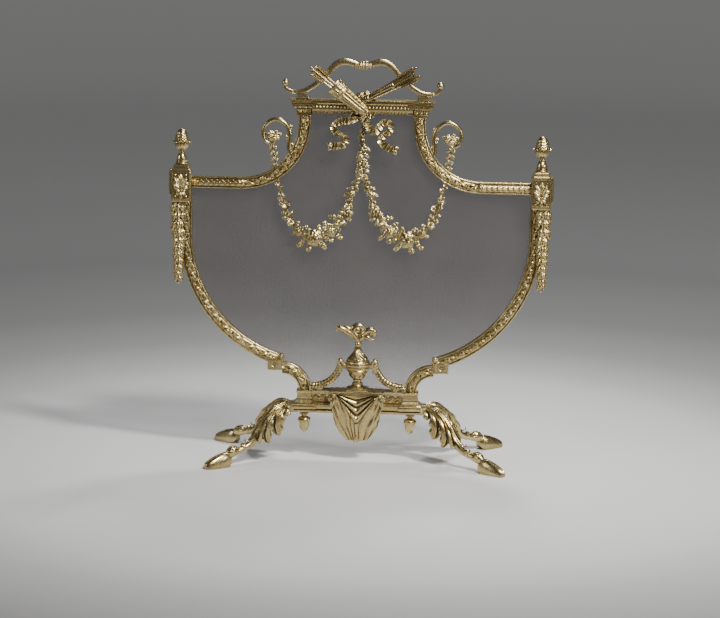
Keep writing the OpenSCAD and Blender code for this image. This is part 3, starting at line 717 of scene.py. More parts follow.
def bead_row(low_x, high_x, y, z, radius, pitch):
    row = Shape()
    for x in np.linspace(low_x, high_x, int((high_x - low_x) / pitch) + 1):
        row.join(ball((x, y, z), radius, 8))
    return row


def tongue_row(low_x, high_x, y, z, height, pitch):
    """Row of small upright leaves on a moulding."""
    row, count = Shape(), int((high_x - low_x) / pitch)
    for k in range(count):
        x = low_x + (high_x - low_x) * (k + 0.5) / count
        row.join(plain_leaf(height, pitch * 0.95, 0.9, 0), (x, y, z), UP, FRONT)
    return row


def capital():
    """Square capital: astragal, ring of leaves, egg band and abacus."""
    low, high = capital_low, capital_high
    x, y0, y1 = 112.0, low[1], high[1]
    base = low[2]
    shape = Shape()
    for half, z0, z1, round_off in ((15.0, 0, 2.2, 1.0), (13.0, 2.0, 4.5, 0.3), (15.5, 4.2, 6.4, 1.0),
                                    (14.0, 6.0, 15.0, 0.3), (19.5, 14.5, 17.0, 1.1), (22.0, 16.6, 20.8, 1.8),
                                    (24.5, 20.4, 23.0, 0.4), (23.2, 22.8, 25.4, 0.4), (25.6, 25.0, 28.1, 0.8)):
        shape.join(rounded_block((x - half, y0 + 26 - half, base + z0), (x + half, y1, base + z1), round_off))
    for k in range(3):
        shape.join(plain_leaf(13, 9.5, 0.9, 3), (x - 9 + 9 * k, y0 + 12.0, base + 4.5), UP, FRONT)
    for s in (-1, 1):
        for k in range(2):
            shape.join(plain_leaf(13, 9.5, 0.9, 3), (x + s * 14, y0 + 17 + 7 * k, base + 4.5), UP, (s, 0, 0))
    shape.join(tongue_row(x - 21, x + 21, y0 + 4.6, base + 16.6, 4.6, 5.2))
    shape.join(bead_row(x - 18, x + 18, y0 + 6.6, base + 15.8, 1.25, 3.4))
    return shape


def top_rail():
    low, high = box("top_rail")
    base, front = low[2], low[1]
    profile = [(high[1], base), (front + 8, base), (front + 7, base + 1), (front + 7, base + 4),
               (front + 5.5, base + 5), (front + 4.6, base + 8.5), (front + 5.6, base + 9.3),
               (front + 5.6, base + 17), (front + 4, base + 18), (front + 2.5, base + 20.5), (front, base + 21.5),
               (front, high[2]), (high[1], high[2])]
    shape = moulded_rail(low[0] - 11, high[0] + 11, profile)
    shape.join(bead_row(low[0] - 2, high[0] + 2, front + 5.4, base + 13.2, 2.7, 6.6))
    shape.join(tongue_row(low[0] - 3, high[0] + 3, front + 6.2, base + 1.6, 7.0, 6.6))
    return shape


def cornice():
    low, high = cap_low, cap_high
    shape = rounded_block(low + [2, 2, 0], high - [2, 1, 2.4], 0.8)
    shape.join(rounded_block((low[0], low[1], low[2] + 2.2), (high[0], high[1], high[2]), 1.2))
    return shape


def handle_pads():
    low, high = box("handle_pads")
    y = seat("handle_pads")[1]
    shape = Shape()
    for x in (11 - high[0], high[0] - 11):
        for half, deep, z0, z1 in ((12, 8, 0, 3.0), (10, 7, 2.8, 9.0)):
            shape.join(rounded_block((x - half, y - deep, low[2] + z0), (x + half, y + deep, low[2] + z1), 0.9))
    return shape


def bow_handle():
    """Cupid's bow: swelling limbs, knopped grip, leaf wraps at the bends and ball tips."""
    _, y, top = seat("bow_handle", 1)
    half = np.array([[0, -13, 5.4], [10, -13, 5.6], [19, -10, 6.0], [34, -6.6, 6.6], [49, -10.5, 6.6], [61, -21, 6.2],
                     [71, -33, 5.6], [85, -46, 5.2], [99, -57, 4.9], [113, -64.5, 4.6], [127, -67, 4.2],
                     [140, -65, 3.6], [148, -59.5, 3.2], [150, -54.5, 3.0]])
    route = smooth(np.concatenate([half[:0:-1] * [-1, 1, 1], half]), 9)
    path = flat_path(route[:, :2] + [0, top], y)
    _, across, _ = frame_along(path)
    a = TAU * np.arange(16) / 16
    flat = 1 / (np.abs(np.cos(a)) ** 3.2 + np.abs(np.sin(a)) ** 3.2) ** (1 / 3.2)
    r = route[:, 2][:, None, None]
    shape = loft(path[:, None] + r * (across[:, None] * (flat * np.cos(a))[None, :, None]
                                      + FRONT * (0.92 * flat * np.sin(a))[None, :, None]))
    for s in (-1, 1):
        shape.join(ball((s * 149.0, y, top - 49.5), 7.0, 18))
        ridge = smooth(half[2:12], 6) * [s, 1, 1]
        shape.join(tube(flat_path(ridge[:, :2] + [0, top], y - 3.2), np.linspace(1.0, 0.6, len(ridge)), 6))
        for x, z, ax, az, size in ((22, -7.5, 1, 0.35, 13), (66, -27, -0.6, 0.9, 14), (74, -37, 0.75, -0.72, 16),
                                   (106, -62, 0.85, -0.4, 15), (139, -66.5, -0.95, -0.2, 12)):
            for face in ((0, -1, 0), (0, 1, 0), (az * s, 0, abs(ax))):
                spot = np.array([s * x, y, top + z]) + unit(face) * 2.9
                shape.join(plain_leaf(size, 6.5, 0.5, 2), spot, (s * ax, 0, az), face)
    knop = [(5.4, -17), (6.8, -16), (7.0, -13.6), (5.6, -12.4), (5.8, -10), (7.6, -8.4), (7.9, -6.0), (6.2, -4.6),
            (5.9, -3.2), (7.4, -1.8), (7.9, 0)]
    knop += [(r, -z) for r, z in knop[-2::-1]]
    grip = lathe(knop, 28, shape=lambda a, r, z: r * (1 + 0.03 * np.cos(12 * a)))
    return shape.join(grip, (0, y, top - 13), UP, (1, 0, 0))


def quiver():
    """Tapered quiver seen from its flat-relief side: reeded body, bands, an open mouth and a chain."""
    along = np.array([math.cos(QUIVER_ANGLE), 0, math.sin(QUIVER_ANGLE)])
    origin = QUIVER_TIP - FRONT * (seat("quiver")[1] + 1)
    length, sides = 80.0, 64
    a = TAU * np.arange(sides) / sides
    rings = []
    for s in np.linspace(-4, length, 40):
        band = 0.0
        for place, width, lift in ((0.0, 2.5, 0.8), (9, 1.2, 2.2), (length - 22, 1.4, 2.4), (length - 2, 3.0, 3.0)):
            band = max(band, lift * math.exp(-((s - place) / width) ** 4))
        reeds = (2.6 * np.abs(np.cos(5.0 * a)) ** 0.6 - 0.6) * (band < 0.3)
        r = 4.6 + 3.0 * min(1, (s + 4) / 5) + 7.4 * (s + 4) / (length + 4) + band + reeds
        rings.append(np.stack([np.full(sides, s), r * np.cos(a), 0.62 * r * np.sin(a)], axis=1))
    rings += [rings[-1] * [1, 0.84, 0.84], rings[-1] * [1, 0.78, 0.78] - [14, 0, 0]]
    shape = Shape().join(loft(np.array(rings)), origin, along, FRONT)
    across = np.cross(FRONT, along)
    for k in (1, 0, -1):
        shape.join(ball(origin + along * (length - 16) + FRONT * 8.2 + across * 7 * k, 2.0, 10))
    shape.join(daisy(5.0, 6), origin + along * 58 + FRONT * 8.4, along, FRONT)
    for k in range(9):
        t = k / 8
        spot = (origin - across * (17.5 - 9 * t) + along * (length - 4 - 62 * t)
                + FRONT * (3 + 4 * math.sin(math.pi * t)))
        shape.join(hoop(2.6, 0.8, 12), spot, face=(0.4 * (-1) ** k, 1, 0.2))
    return shape


def arrow(length, shaft, feather, width):
    """Fletched arrow end in its own axes: grows along x, faces z."""
    shape = tube(np.array([[0, 0, 0], [length, 0, 0.0]]), [shaft, shaft], 10, up=UP)
    for turn in (-1, 0, 1):
        a = turn * 1.25
        out = np.array([0, math.sin(a), math.cos(a)])
        for k in range(7):
            base = np.array([length - feather + k * feather / 8, 0, 0]) + out * shaft * 0.6
            blade = unit(np.array([0.85, 0, 0]) + out * 0.55)
            shape.join(plain_leaf(width * 1.5, width * 0.62, 0.25, 0), base, blade, np.cross(blade, out) + out * 0.01)
    shape.join(ball((length + 1.0, 0, 0), shaft * 1.5, 10))
    return shape


def quiver_arrows():
    along = np.array([math.cos(QUIVER_ANGLE), 0, math.sin(QUIVER_ANGLE)])
    across = np.cross(along, FRONT)
    start = QUIVER_TIP - FRONT * seat("quiver_arrows")[1] + along * 66
    shape = Shape()
    for spread in (-1, 0, 1):
        shape.join(arrow(66 - 4 * abs(spread), 1.7, 30, 5.0),
                   start + across * spread * 4.6 + FRONT * (1.5 - abs(spread)), along + across * 0.045 * spread,
                   FRONT + 0.3 * spread * across)
    return shape


def arrow_sheaf():
    """Three crossing arrows in two bands, behind the quiver."""
    angle = math.radians(28.5)
    along = np.array([math.cos(angle), 0, math.sin(angle)])
    across = np.cross(along, FRONT)
    start = np.array([-8.0, seat("arrow_sheaf")[1], 705.0])
    shape = Shape()
    for spread, length in ((-1, 128), (1, 126), (0, 118)):
        spot = start + across * spread * 2.4 + FRONT * (2 if spread == 0 else 0)
        shape.join(arrow(length, 2.3, 40, 5.6), spot, along + across * 0.05 * spread, FRONT + 0.25 * spread * across)
    band = lathe([(5.8, -3), (6.6, -2), (6.6, 2), (5.8, 3)], 24,
                 shape=lambda a, r, z: r * (1 - 0.35 * np.abs(np.sin(a))))
    for place in (20, 74):
        shape.join(band, start + along * place, across, along)
    return shape


def rose_sprig():
    _, y, z = seat("rose_sprig") + [0, 0, 7]
    shape = Shape()
    for x, size, face in ((-4, 8.0, (-0.4, -1, 0.4)), (8, 9, (0.05, -1, 0.35)), (20, 7.5, (0.5, -0.9, 0.4))):
        shape.join(rose(size), (x, y - 1, z + 1), (1, 0, 0.1), face)
    for k in range(7):
        a = math.radians(200 - 220 * k / 6)
        shape.join(plain_leaf(14, 8.5, 0.7, 2), (8 + 5 * math.cos(a), y + 2, z - 4 + 2 * math.sin(a)),
                   (math.cos(a), -0.15, max(0.0, math.sin(a)) + 0.12), (0, -0.8, 0.6))
    return shape


def build_head():
    cast_pair("capital", capital(), GILT, *FRAME_LOOK)
    for build, material, look in ((top_rail, GILT, FRAME_LOOK), (handle_pads, GILT_PLAIN, FRAME_LOOK),
                                  (bow_handle, GILT_PLAIN, ()), (quiver, GILT, ()), (quiver_arrows, GILT, ()),
                                  (arrow_sheaf, GILT_RELIEF, ()), (rose_sprig, GILT_RELIEF, ())):
        cast(build.__name__, build(), material, *look)
    make("cornice_cast", cornice(), GILT_PLAIN, "screen", ["cornice_cap"], *FRAME_LOOK)


# ------------------------------------------------------------------ ribbons, garlands and loops

def turned(direction, degrees):
    """Rotates a direction in the xz plane; positive turns it anticlockwise as seen from the front."""
    a = math.radians(degrees)
    x, z = direction[0], direction[2]
    return np.array([x * math.cos(a) - z * math.sin(a), direction[1], x * math.sin(a) + z * math.cos(a)])


def rope(path, radius, pitch=14.0, strands=2, sides=7):
    """Strands twisted round each other along a path."""
    path = resample(path, max(8, int(route_length(path) / 1.6)))
    _, across, out = frame_along(path)
    s = np.linspace(0, 1, len(path)) * route_length(path)
    shape = Shape()
    for k in range(strands):
        a = TAU * (s / pitch + k / strands)[:, None]
        shape.join(tube(path + 0.75 * radius * (across * np.cos(a) + out * np.sin(a)), radius * 0.8, sides))
    return shape


def ribbon(path, half_width, thick=1.6, pleat=1.5, period=8.0):
    """Crinkled flat ribbon that faces the front; half_width holds evenly spaced values."""
    path = resample(path, max(12, int(route_length(path) / 0.9)))
    u = np.linspace(0, 1, len(path))
    half = np.interp(u, np.linspace(0, 1, len(half_width)), half_width)[:, None]
    _, across, _ = frame_along(path)
    s = u[:, None] * route_length(path)
    v = np.linspace(-1, 1, 7)[None]
    wave = pleat * np.sin(TAU * (s + 1.6 * np.sin(s / 5.3) + 0.2 * v * half) / period)
    front = (path[:, None] + across[:, None] * (v * half)[..., None]
             + FRONT * (wave + 1.2 * v ** 2 + thick / 2)[..., None])
    return loft(np.concatenate([front, (front - FRONT * thick)[:, ::-1]], axis=1))


def ribbon_bow():
    y, knot = seat("ribbon_bow")[1], 676.0
    shape = Shape()
    left = smooth([(0, 675), (-12, 674), (-26, 671.5), (-42, 669), (-54, 660), (-52, 649), (-40, 642), (-30, 636),
                   (-33, 626), (-46, 621), (-60, 621)], 7)
    right = smooth([(0, 675), (10, 669), (16, 655), (25, 650), (33, 659), (43, 669), (54, 666), (55, 654), (44, 645),
                    (37, 636), (42, 625), (53, 619), (63, 616)], 7)
    for route, s in ((left, -1), (right, 1)):
        path = flat_path(route, y)
        path[:, 1] -= 4.0 * np.sin(np.linspace(0, 3.4 * math.pi, len(path)))
        shape.join(ribbon(path, [3.4, 6.2, 7.0, 6.6, 5.8, 5.4, 6.4, 7.0, 6.6]))
        end = route[-1]
        for tilt, size in ((34, 12), (-38, 12)):
            shape.join(plain_leaf(size, 7.5, 0.7, 0), (end[0] - 3 * s, y - 1, end[1]),
                       turned(np.array([1.0 * s, 0, -0.2]), tilt), FRONT)
        shape.join(ribbon(flat_path(smooth([(3 * s, 678), (11 * s, 684), (19 * s, 683), (12 * s, 676)], 5), y + 2),
                          [3.0, 4.4, 4.4, 3.0]))
    for k in range(4):
        a = TAU * k / 4
        shape.join(ball((2.6 * math.cos(a), y - 3.5, knot + 3.4 * math.sin(a)), 3.9, 12, 1.25))
    return shape


def scatter_leaves(shape, path, start, end, gap, length, width, spread=58, lobes=2, wild=12.0):
    """Pairs of leaves down a stem, pointing along it."""
    path = resample(path, 200)
    t = tangents(path)
    total = np.linalg.norm(np.diff(path, axis=0), axis=1).sum()
    s, side = start, 1
    while s < end:
        i = min(199, int(199 * s / total))
        grow = RNG.uniform(0.85, 1.15)
        along = turned(t[i], side * (spread + RNG.uniform(-wild, wild)))
        shape.join(plain_leaf(length * grow, width * grow, 0.75, lobes), path[i] + FRONT * RNG.uniform(0.5, 3.0),
                   unit(along + FRONT * 0.18), unit(FRONT + 0.5 * turned(t[i], side * 90)))
        s += gap * RNG.uniform(0.8, 1.2)
        side = -side
    return shape


def garland_drop():
    y = seat("garland_drop")[1]
    route = smooth([(0, 672), (2, 655), (0, 635), (3, 612), (1, 590), (3, 572), (2, 556)], 8)
    path = flat_path(route, y - 1)
    shape = rope(path, 2.0)
    scatter_leaves(shape, path, 10, 56, 6.2, 13, 6.6, spread=36)
    scatter_leaves(shape, path, 52, 86, 5.0, 16, 7.8, spread=44, lobes=3)
    scatter_leaves(shape, path, 86, 116, 5.4, 16, 8.4, spread=58, lobes=3)
    for x, z, size, kind in ((4, 617, 4.6, daisy), (-3, 600, 6.6, rose), (7, 588, 5.0, daisy), (-3, 574, 5.6, rose),
                             (5, 561, 7.4, daisy)):
        shape.join(kind(size), (x, y - 4.5, z), (1, 0, 0.3), (0.25 * np.sign(x), -1, 0.1))
    return shape


def garland():
    """Right-hand swag of roses, leaves and berries on a twisted stem."""
    y = seat("garland_right")[1]
    route = smooth([(2, 556), (17, 534), (25, 503), (36, 476), (57, 453), (90, 441), (120, 451), (137, 474),
                    (148, 501), (156, 527), (163, 554)], 8)
    path = flat_path(route, y)
    shape = rope(path, 2.1)
    scatter_leaves(shape, path, 6, 74, 7.0, 14, 7.6, spread=42, lobes=2)
    scatter_leaves(shape, path, 70, 110, 6.2, 16, 8.6, spread=56, lobes=3)
    scatter_leaves(shape, path, 110, 166, 6.4, 16, 9.2, spread=66, lobes=3)
    scatter_leaves(shape, path, 166, 208, 9.5, 15, 8.4, spread=-50, lobes=3)
    scatter_leaves(shape, path, 205, 246, 7.0, 13, 7.6, spread=-44, lobes=2)
    scatter_leaves(shape, path, 246, 292, 8.5, 12, 6.4, spread=-34, lobes=2)
    blooms = ((90, 440, 16, rose, (0, -1, 0.05)), (57, 453, 9.5, rose, (-0.3, -1, 0)),
              (38, 474, 8.5, daisy, (-0.3, -1, 0.1)), (47, 466, 6.5, rose, (0.4, -1, 0.3)),
              (121, 451, 8.0, rose, (0.3, -1, -0.1)), (71, 446, 7.0, daisy, (-0.1, -1, -0.3)),
              (107, 443, 7.5, daisy, (0.3, -1, -0.2)), (136, 470, 7.5, daisy, (0.3, -1, 0.2)),
              (27, 502, 7.0, daisy, (-0.2, -1, 0)), (18, 528, 5.5, rose, (0, -1, 0.2)),
              (153, 521, 4.6, rose, (0.2, -1, 0)))
    for x, z, size, kind, face in blooms:
        shape.join(kind(size), (x, y - 4, z), (1, 0, 0.2), face)
    cup = lathe([(2.0, 0), (5.5, 2.0), (8.0, 5.5), (8.6, 7.5), (7.6, 7.2), (5.0, 3.6), (1.5, 2.6)], 24,
                shape=lambda a, r, z: r * (1 + 0.06 * np.cos(6 * a)))
    shape.join(cup, (146, y - 1, 501), (1, 0, 0.3), (-0.45, -0.8, 0.25), 0.95)
    leaves = ((40, 478, 1.0, 0.22, 24, 11), (60, 462, 0.75, 0.66, 17, 9), (76, 432, -0.5, -0.86, 18, 11),
              (98, 428, 0.2, -1.0, 17, 12), (108, 432, 0.85, -0.55, 19, 11), (66, 440, -0.9, -0.4, 16, 10),
              (84, 452, -0.3, 1.0, 14, 9), (100, 452, 0.5, 0.85, 14, 9), (30, 492, -0.95, -0.2, 16, 9),
              (48, 448, -0.8, -0.55, 17, 10), (129, 458, -0.6, 0.8, 17, 9), (150, 512, 0.95, 0.35, 13, 8))
    for x, z, dx, dz, length, width in leaves:
        shape.join(plain_leaf(length, width, 0.6, 3), (x, y - 1.5, z), (dx, -0.1, dz), FRONT + np.array([0, 0, 0.25]))
    for x, z in ((80, 430), (84, 427), (78, 426), (112, 456), (116, 459), (111, 461), (50, 458), (47, 454),
                 (140, 484), (137, 487), (31, 488), (26, 487)):
        shape.join(ball((x, y - 6.5, z), 2.4, 10))
    return shape


def scroll_loop():
    """Right-hand loop above the shoulder: tapering ring, rosette and hanging sprig."""
    y = seat("scroll_loop_right")[1]
    curve = smooth([(131, 590), (139, 606), (141, 624), (139.5, 642), (146, 658), (160, 668), (175, 667), (188, 656),
                    (191.5, 641), (187, 627), (176, 622), (168, 628)], 8)
    shape = Shape()
    radius = np.interp(np.linspace(0, 1, len(curve)), [0, 0.15, 0.6, 1.0], [5.2, 4.6, 3.9, 3.0])
    path = flat_path(curve, y)
    shape.join(tube(path, radius, 12, radius * 1.1))
    for t, size, side in ((0.12, 15, 1), (0.2, 15, -1), (0.3, 13, 1)):
        i = int(t * (len(curve) - 1))
        d = turned(unit(path[i + 2] - path[i]), 28 * side)
        shape.join(plain_leaf(size, 7.5, 0.6, 2), path[i] + FRONT * 2.0, d, FRONT)
    centre = np.array([171.0, y - 3, 636.0])
    stem2 = smooth([(171, 636), (172, 622), (171, 604), (167, 590), (164, 572)], 7)
    shape.join(tube(flat_path(stem2, y + 0.5), np.linspace(2.2, 2.0, len(stem2)), 10))
    shape.join(daisy(10.5, 6), centre, (1, 0, 0.2), (0.1, -1, 0.05))
    shape.join(daisy(6.0, 5), centre + FRONT * 2.0, (1, 0, 0.5), (0.1, -1, 0.05))
    for dx, dz, length in ((1, 0.25, 19), (-1, 0.35, 17), (0.55, 0.9, 14), (-0.5, 0.95, 13), (0.9, -0.55, 14),
                           (-0.9, -0.5, 13)):
        shape.join(plain_leaf(length, 8.5, 0.6, 3), centre - FRONT * 1.5, (dx, 0, dz), FRONT)
    for z, size in ((620, 12), (608, 12), (596, 11), (584, 10)):
        for s in (-1, 1):
            shape.join(plain_leaf(size, 6.5, 0.6, 2), (169 + (z - 592) * 0.12, y - 1.5, z), (0.75 * s, 0, -0.8),
                       FRONT)
        shape.join(ball((169 + (z - 592) * 0.12, y - 3.0, z - 3), 1.8, 10))
    return shape


# ------------------------------------------------------------------ urn, flame and swags

URN_Y = -18.0


def urn_body():
    base = seat("urn_body")[2]
    shape = Shape()
    for half, deep, z0, z1 in ((22, 19, 0, 3.4), (19, 17, 3.2, 5.4)):
        shape.join(rounded_block((-half, URN_Y - deep, base + z0), (half, min(URN_Y + deep, -0.5), base + z1), 0.8))
    turned_foot = [(17.5, 5), (17.5, 6.6), (14.5, 8.2), (11, 10.2), (9.6, 12.2), (10.4, 13.2), (10.4, 14.8),
                   (7.4, 16), (6.8, 18.5), (9.2, 20.2), (9.4, 22.2), (8.0, 23.6)]
    shape.join(lathe([(r, base + z) for r, z in turned_foot], 48, (0, URN_Y, 0)))
    bowl = [(8.0 + 12.2 * t ** 0.75, base + 23.5 + 16 * t) for t in np.linspace(0, 1, 12)]
    shape.join(lathe(bowl, 128, (0, URN_Y, 0),
                     lambda a, r, z: r * (1 + 0.06 * np.abs(np.cos(9 * a)) * np.clip((base + 39 - z) / 9, 0, 1))))
    band = [(19, 39), (21, 40), (21.8, 41), (21.2, 42.2), (20.4, 43), (20.8, 46.5), (23.4, 48.4), (25.4, 50.2),
            (25.6, 52.2), (24.4, 53.6), (22.6, 54.4), (23.2, 55.6), (22.6, 57)]
    shape.join(lathe([(r, base + z) for r, z in band], 64, (0, URN_Y, 0)))
    for out in spokes(30):
        shape.join(ball(20.4 * out + [0, URN_Y, base + 45.2], 1.5, 8))
    for out in spokes(10, 0.5):
        path = out * np.array([[8.4], [11.5], [15], [17.5]]) + UP * np.array([[23.5], [25.2], [28.8], [33.5]]) \
            + [0, URN_Y, base]
        shape.join(leaf(path, out - 0.7 * UP, 8.0, lobes=2, notch=0.2, dome=0.3, groove=0.2, thick=1.2, stations=12,
                        across=7))
    for s in (-1, 1):
        arm = smooth([(20 * s, 189), (27 * s, 192), (33 * s, 199), (36.5 * s, 196), (35.5 * s, 190), (31.5 * s, 189),
                      (31 * s, 193)], 6)
        width = np.interp(np.linspace(0, 1, len(arm)), [0, 0.5, 1], [3.6, 3.4, 1.7])
        shape.join(tube(flat_path(arm, URN_Y), width, 12, width * 1.25))
        shape.join(rounded_block((min(19 * s, 34 * s), URN_Y - 4.2, 184.5), (max(19 * s, 34 * s), URN_Y + 4.2, 190),
                                 1.2))
        shape.join(rounded_block((min(30 * s, 37 * s), URN_Y - 4.6, 174), (max(30 * s, 37 * s), URN_Y + 4.6, 193),
                                 1.4))
    return shape


def urn_lid():
    base = seat("urn_lid")[2]
    profile = [(23.0, 0), (23.4, 1.4), (22.8, 2.4), (20.6, 3.0), (20.6, 3.6)]
    profile += [(6.4 + 14.2 * (1 - t) ** 1.5, 3.8 + 22.0 * t) for t in np.linspace(0, 1, 24)]
    shape = lathe([(r, base + z) for r, z in profile], 144, (0, URN_Y, 0),
                  lambda a, r, z: r * (1 + 0.15 * np.abs(np.cos(5.5 * (a + 0.06 * (z - base)))) ** 0.7
                                       * np.clip((z - base - 4) / 3, 0, 1) * np.clip((base + 26 - z) / 3, 0, 1)))
    neck = [(6.6, 25.4), (7.6, 26.0), (7.6, 27.0), (4.6, 27.8), (3.6, 28.8), (3.6, 29.6)]
    shape.join(lathe([(r, base + z) for r, z in neck], 36, (0, URN_Y, 0)))
    shape.join(ball((0, URN_Y, base + 34.2), 6.4, 24))
    shape.join(lathe([(3.4, base + 39.8), (2.6, base + 41.0), (2.8, base + 42)], 20, (0, URN_Y, 0)))
    return shape


def urn_flame():
    """Wind-blown flame: curling tongues that rise and part to both sides."""
    y = seat("urn_flame")[1]
    tongues = (
        ([(0, 237), (-1, 243), (-5, 250), (-10, 257), (-8, 265), (0, 269), (8, 266), (8, 259), (2, 256)], 6.2, 0),
        ([(0, 247), (-10, 251), (-20, 256), (-29, 262), (-37, 265), (-42, 262), (-41, 258)], 5.2, -2),
        ([(-6, 254), (-17, 262), (-25, 266), (-33, 266)], 3.9, 3),
        ([(0, 246), (9, 252), (17, 259), (25, 261), (31, 257), (31, 250), (26, 247)], 5.4, 0),
        ([(4, 244), (12, 247), (19, 247), (24, 243), (31, 243)], 3.9, -3),
        ([(1, 241), (6, 244), (7, 250), (2, 254)], 4.2, -4),
        ([(0, 241), (-6, 245), (-14, 247), (-20, 251)], 3.8, 3),
    )
    shape = Shape()
    a = TAU * np.arange(28)[None] / 28
    for points, radius, lean in tongues:
        path = flat_path(smooth(points, 7), y)
        u = np.linspace(0, 1, len(path))
        path[:, 1] += lean * np.sin(math.pi * u * 0.7)
        size = (1.2 * radius * (0.42 + 0.58 * np.sin(math.pi * np.clip(0.04 + u * 1.05, 0, 1)) ** 0.8)
                * (1 - 0.5 * u ** 5))
        _, across, out = frame_along(path)
        flute = size[:, None] * (1 - 0.1 * np.abs(np.sin(1.5 * (a + 1.4 * u[:, None]))))
        shape.join(loft(path[:, None] + across[:, None] * (flute * np.cos(a))[..., None]
                        + out[:, None] * (0.8 * flute * np.sin(a))[..., None]))
    for x, z, radius in ((-2, 261, 7.4), (25, 254, 5.0), (-20, 259, 4.6), (5, 250, 5.4)):
        shape.join(ball((x, y + 1.0, z), radius, 16))
    return shape


def urn_swag():
    """Laurel rope from the urn's handle to the rail, in a hollow quarter circle."""
    y = -14.0
    curve = arc((86, 200), 52.0, 180, 90, 1.5)
    radius = np.interp(np.linspace(0, 1, len(curve)), [0, 0.25, 0.7, 1], [3.0, 3.9, 4.2, 3.2])
    path = flat_path(curve, y)
    shape = tube(path, radius, 16)
    t = tangents(path)
    for i in range(2, len(curve) - 2, 4):
        size = radius[i]
        for turn in (-1.5, -0.5, 0.5, 1.5):
            side = unit(np.cross(t[i], FRONT))
            out = unit(math.cos(turn) * FRONT + math.sin(turn) * side)
            shape.join(plain_leaf(11.0, 7.2, 0.5, 0), path[i] + out * size * 0.8, unit(t[i] + out * 0.42), out)
    shape.join(ball((34.2, y, 199.5), 4.6, 14))
    end = smooth([(80, 147), (88, 146.5), (93, 144), (92.5, 139.5), (88.5, 139.5), (88.5, 142.5)], 6)
    width = np.linspace(3.6, 1.6, len(end))
    shape.join(tube(flat_path(end, y), width, 12, width * 1.4))
    for dx, dz, size in ((-1, 0.12, 22), (-0.85, 0.45, 17), (-0.9, -0.2, 17)):
        shape.join(plain_leaf(size, 9, 0.6, 3), (84, y - 2.5, 145.5), (dx, -0.05, dz), FRONT)
    return shape


# ------------------------------------------------------------------ draped apron

def fold_wave(phase):
    """Rounded ridge with a sharp valley, 0 to 1."""
    return np.abs(np.sin(math.pi * phase)) ** 0.8


def apron():
    low, high = box("apron")
    top, bottom, back = high[2], low[2], high[1]
    rows, columns = 150, 121
    t = np.linspace(0, 1, rows)[:, None]
    u = np.linspace(-1, 1, columns)[None]
    half = 51 - 7 * t - 24 * t ** 4
    scallop = 0.7 * np.abs(np.sin(TAU * 3.2 * t)) * np.clip((t - 0.3) * 3, 0, 1)
    x = u * (half + scallop)
    z = top + (bottom - top) * t - 2.5 * np.sin(math.pi * np.abs(u)) * (1 - t) ** 3 + 0 * u
    body = 12.0 * np.sqrt(np.clip(1 - (0.93 * u) ** 2, 0, 1)) * (1 - 0.35 * t)
    corner = 43.0
    soft = np.sqrt(x ** 2 + 9.0)
    reach = np.clip(1 - soft / corner, 0.02, 1)
    drop = (top - z) / reach
    in_vee = (np.abs(x) < corner) & (drop < 66)
    vee = fold_wave(drop / (14.0 + drop * 0.04)) * 6.0 * np.clip(drop / 8, 0, 1) * np.clip((66 - drop) / 10, 0, 1)
    lip = 3.2 * np.exp(-((drop - 62) / 3.0) ** 2) * (np.abs(x) < corner)
    fan = np.arctan2(x, (z - bottom) + 34)
    phase = 6.4 * fan + 0.45 * np.sin(7.0 * fan + 1.3) + 0.12 * np.sin(0.11 * z)
    pleats = (2.3 + 0.8 * np.sin(3.1 * fan + 0.7)) * fold_wave(phase) * np.clip(t * 3, 0, 1)
    side = np.clip((np.abs(x) - 30) / 10, 0, 1) * np.clip(1.3 - t, 0, 1)
    cascade = 3.4 * fold_wave((np.abs(x) + 0.42 * (top - z)) / 9.5)
    relief = np.where(in_vee, vee + lip, pleats * (1 - side) + cascade * side)
    y = back - 8.0 - body * 0.72 - relief
    front = np.stack([x, np.maximum(y, low[1] - 3), z], axis=-1)
    behind = np.stack([x * 0.93, np.full_like(x, back - 0.2), z], axis=-1)
    shape = loft(np.concatenate([front, behind[:, ::-1]], axis=1))
    shape.join(rounded_block((-52, low[1] + 1, top - 3.4), (52, back, top - 0.1), 1.0))
    for s in (-1, 1):
        for dx, dz, size in ((0.2, -1, 26), (0.75, -0.8, 15), (-0.3, -1, 19)):
            shape.join(plain_leaf(size, 8.5, 0.7, 0), (s * 45, low[1] + 6, top - 5), (dx * s, -0.15, dz), FRONT)
        shape.join(ball((s * 45, low[1] + 4, top - 5), 4.6, 14))
        shape.join(ball((s * 45, low[1] + 0.5, top - 5), 2.2, 10))
    tip = lathe([(1.5, -7), (5.5, -5), (7.6, -1), (7.8, 3), (6, 6)], 28,
                shape=lambda a, r, z: r * (1 + 0.08 * np.cos(7 * a)))
    shape.join(tip, (0, back - 9, bottom + 1), (1, 0, 0), (0, 0, 1))
    return shape


def urn_shelf():
    low, high = box("urn_shelf")
    shape = rounded_block(low + [1.5, 1.5, 0], high - [1.5, 0, 1.8], 0.6)
    shape.join(rounded_block(low + [0, 0, 1.6], high, 0.9))
    return shape


# ------------------------------------------------------------------ base

def moulded_block(x0, x1, y0, y1, levels):
    """Block of stacked mouldings; each level is (z, inset)."""
    rings = [[(x0 + i, y0 + i, z), (x1 - i, y0 + i, z), (x1 - i, y1 - i, z), (x0 + i, y1 - i, z)] for z, i in levels]
    return loft(np.array(rings, float))


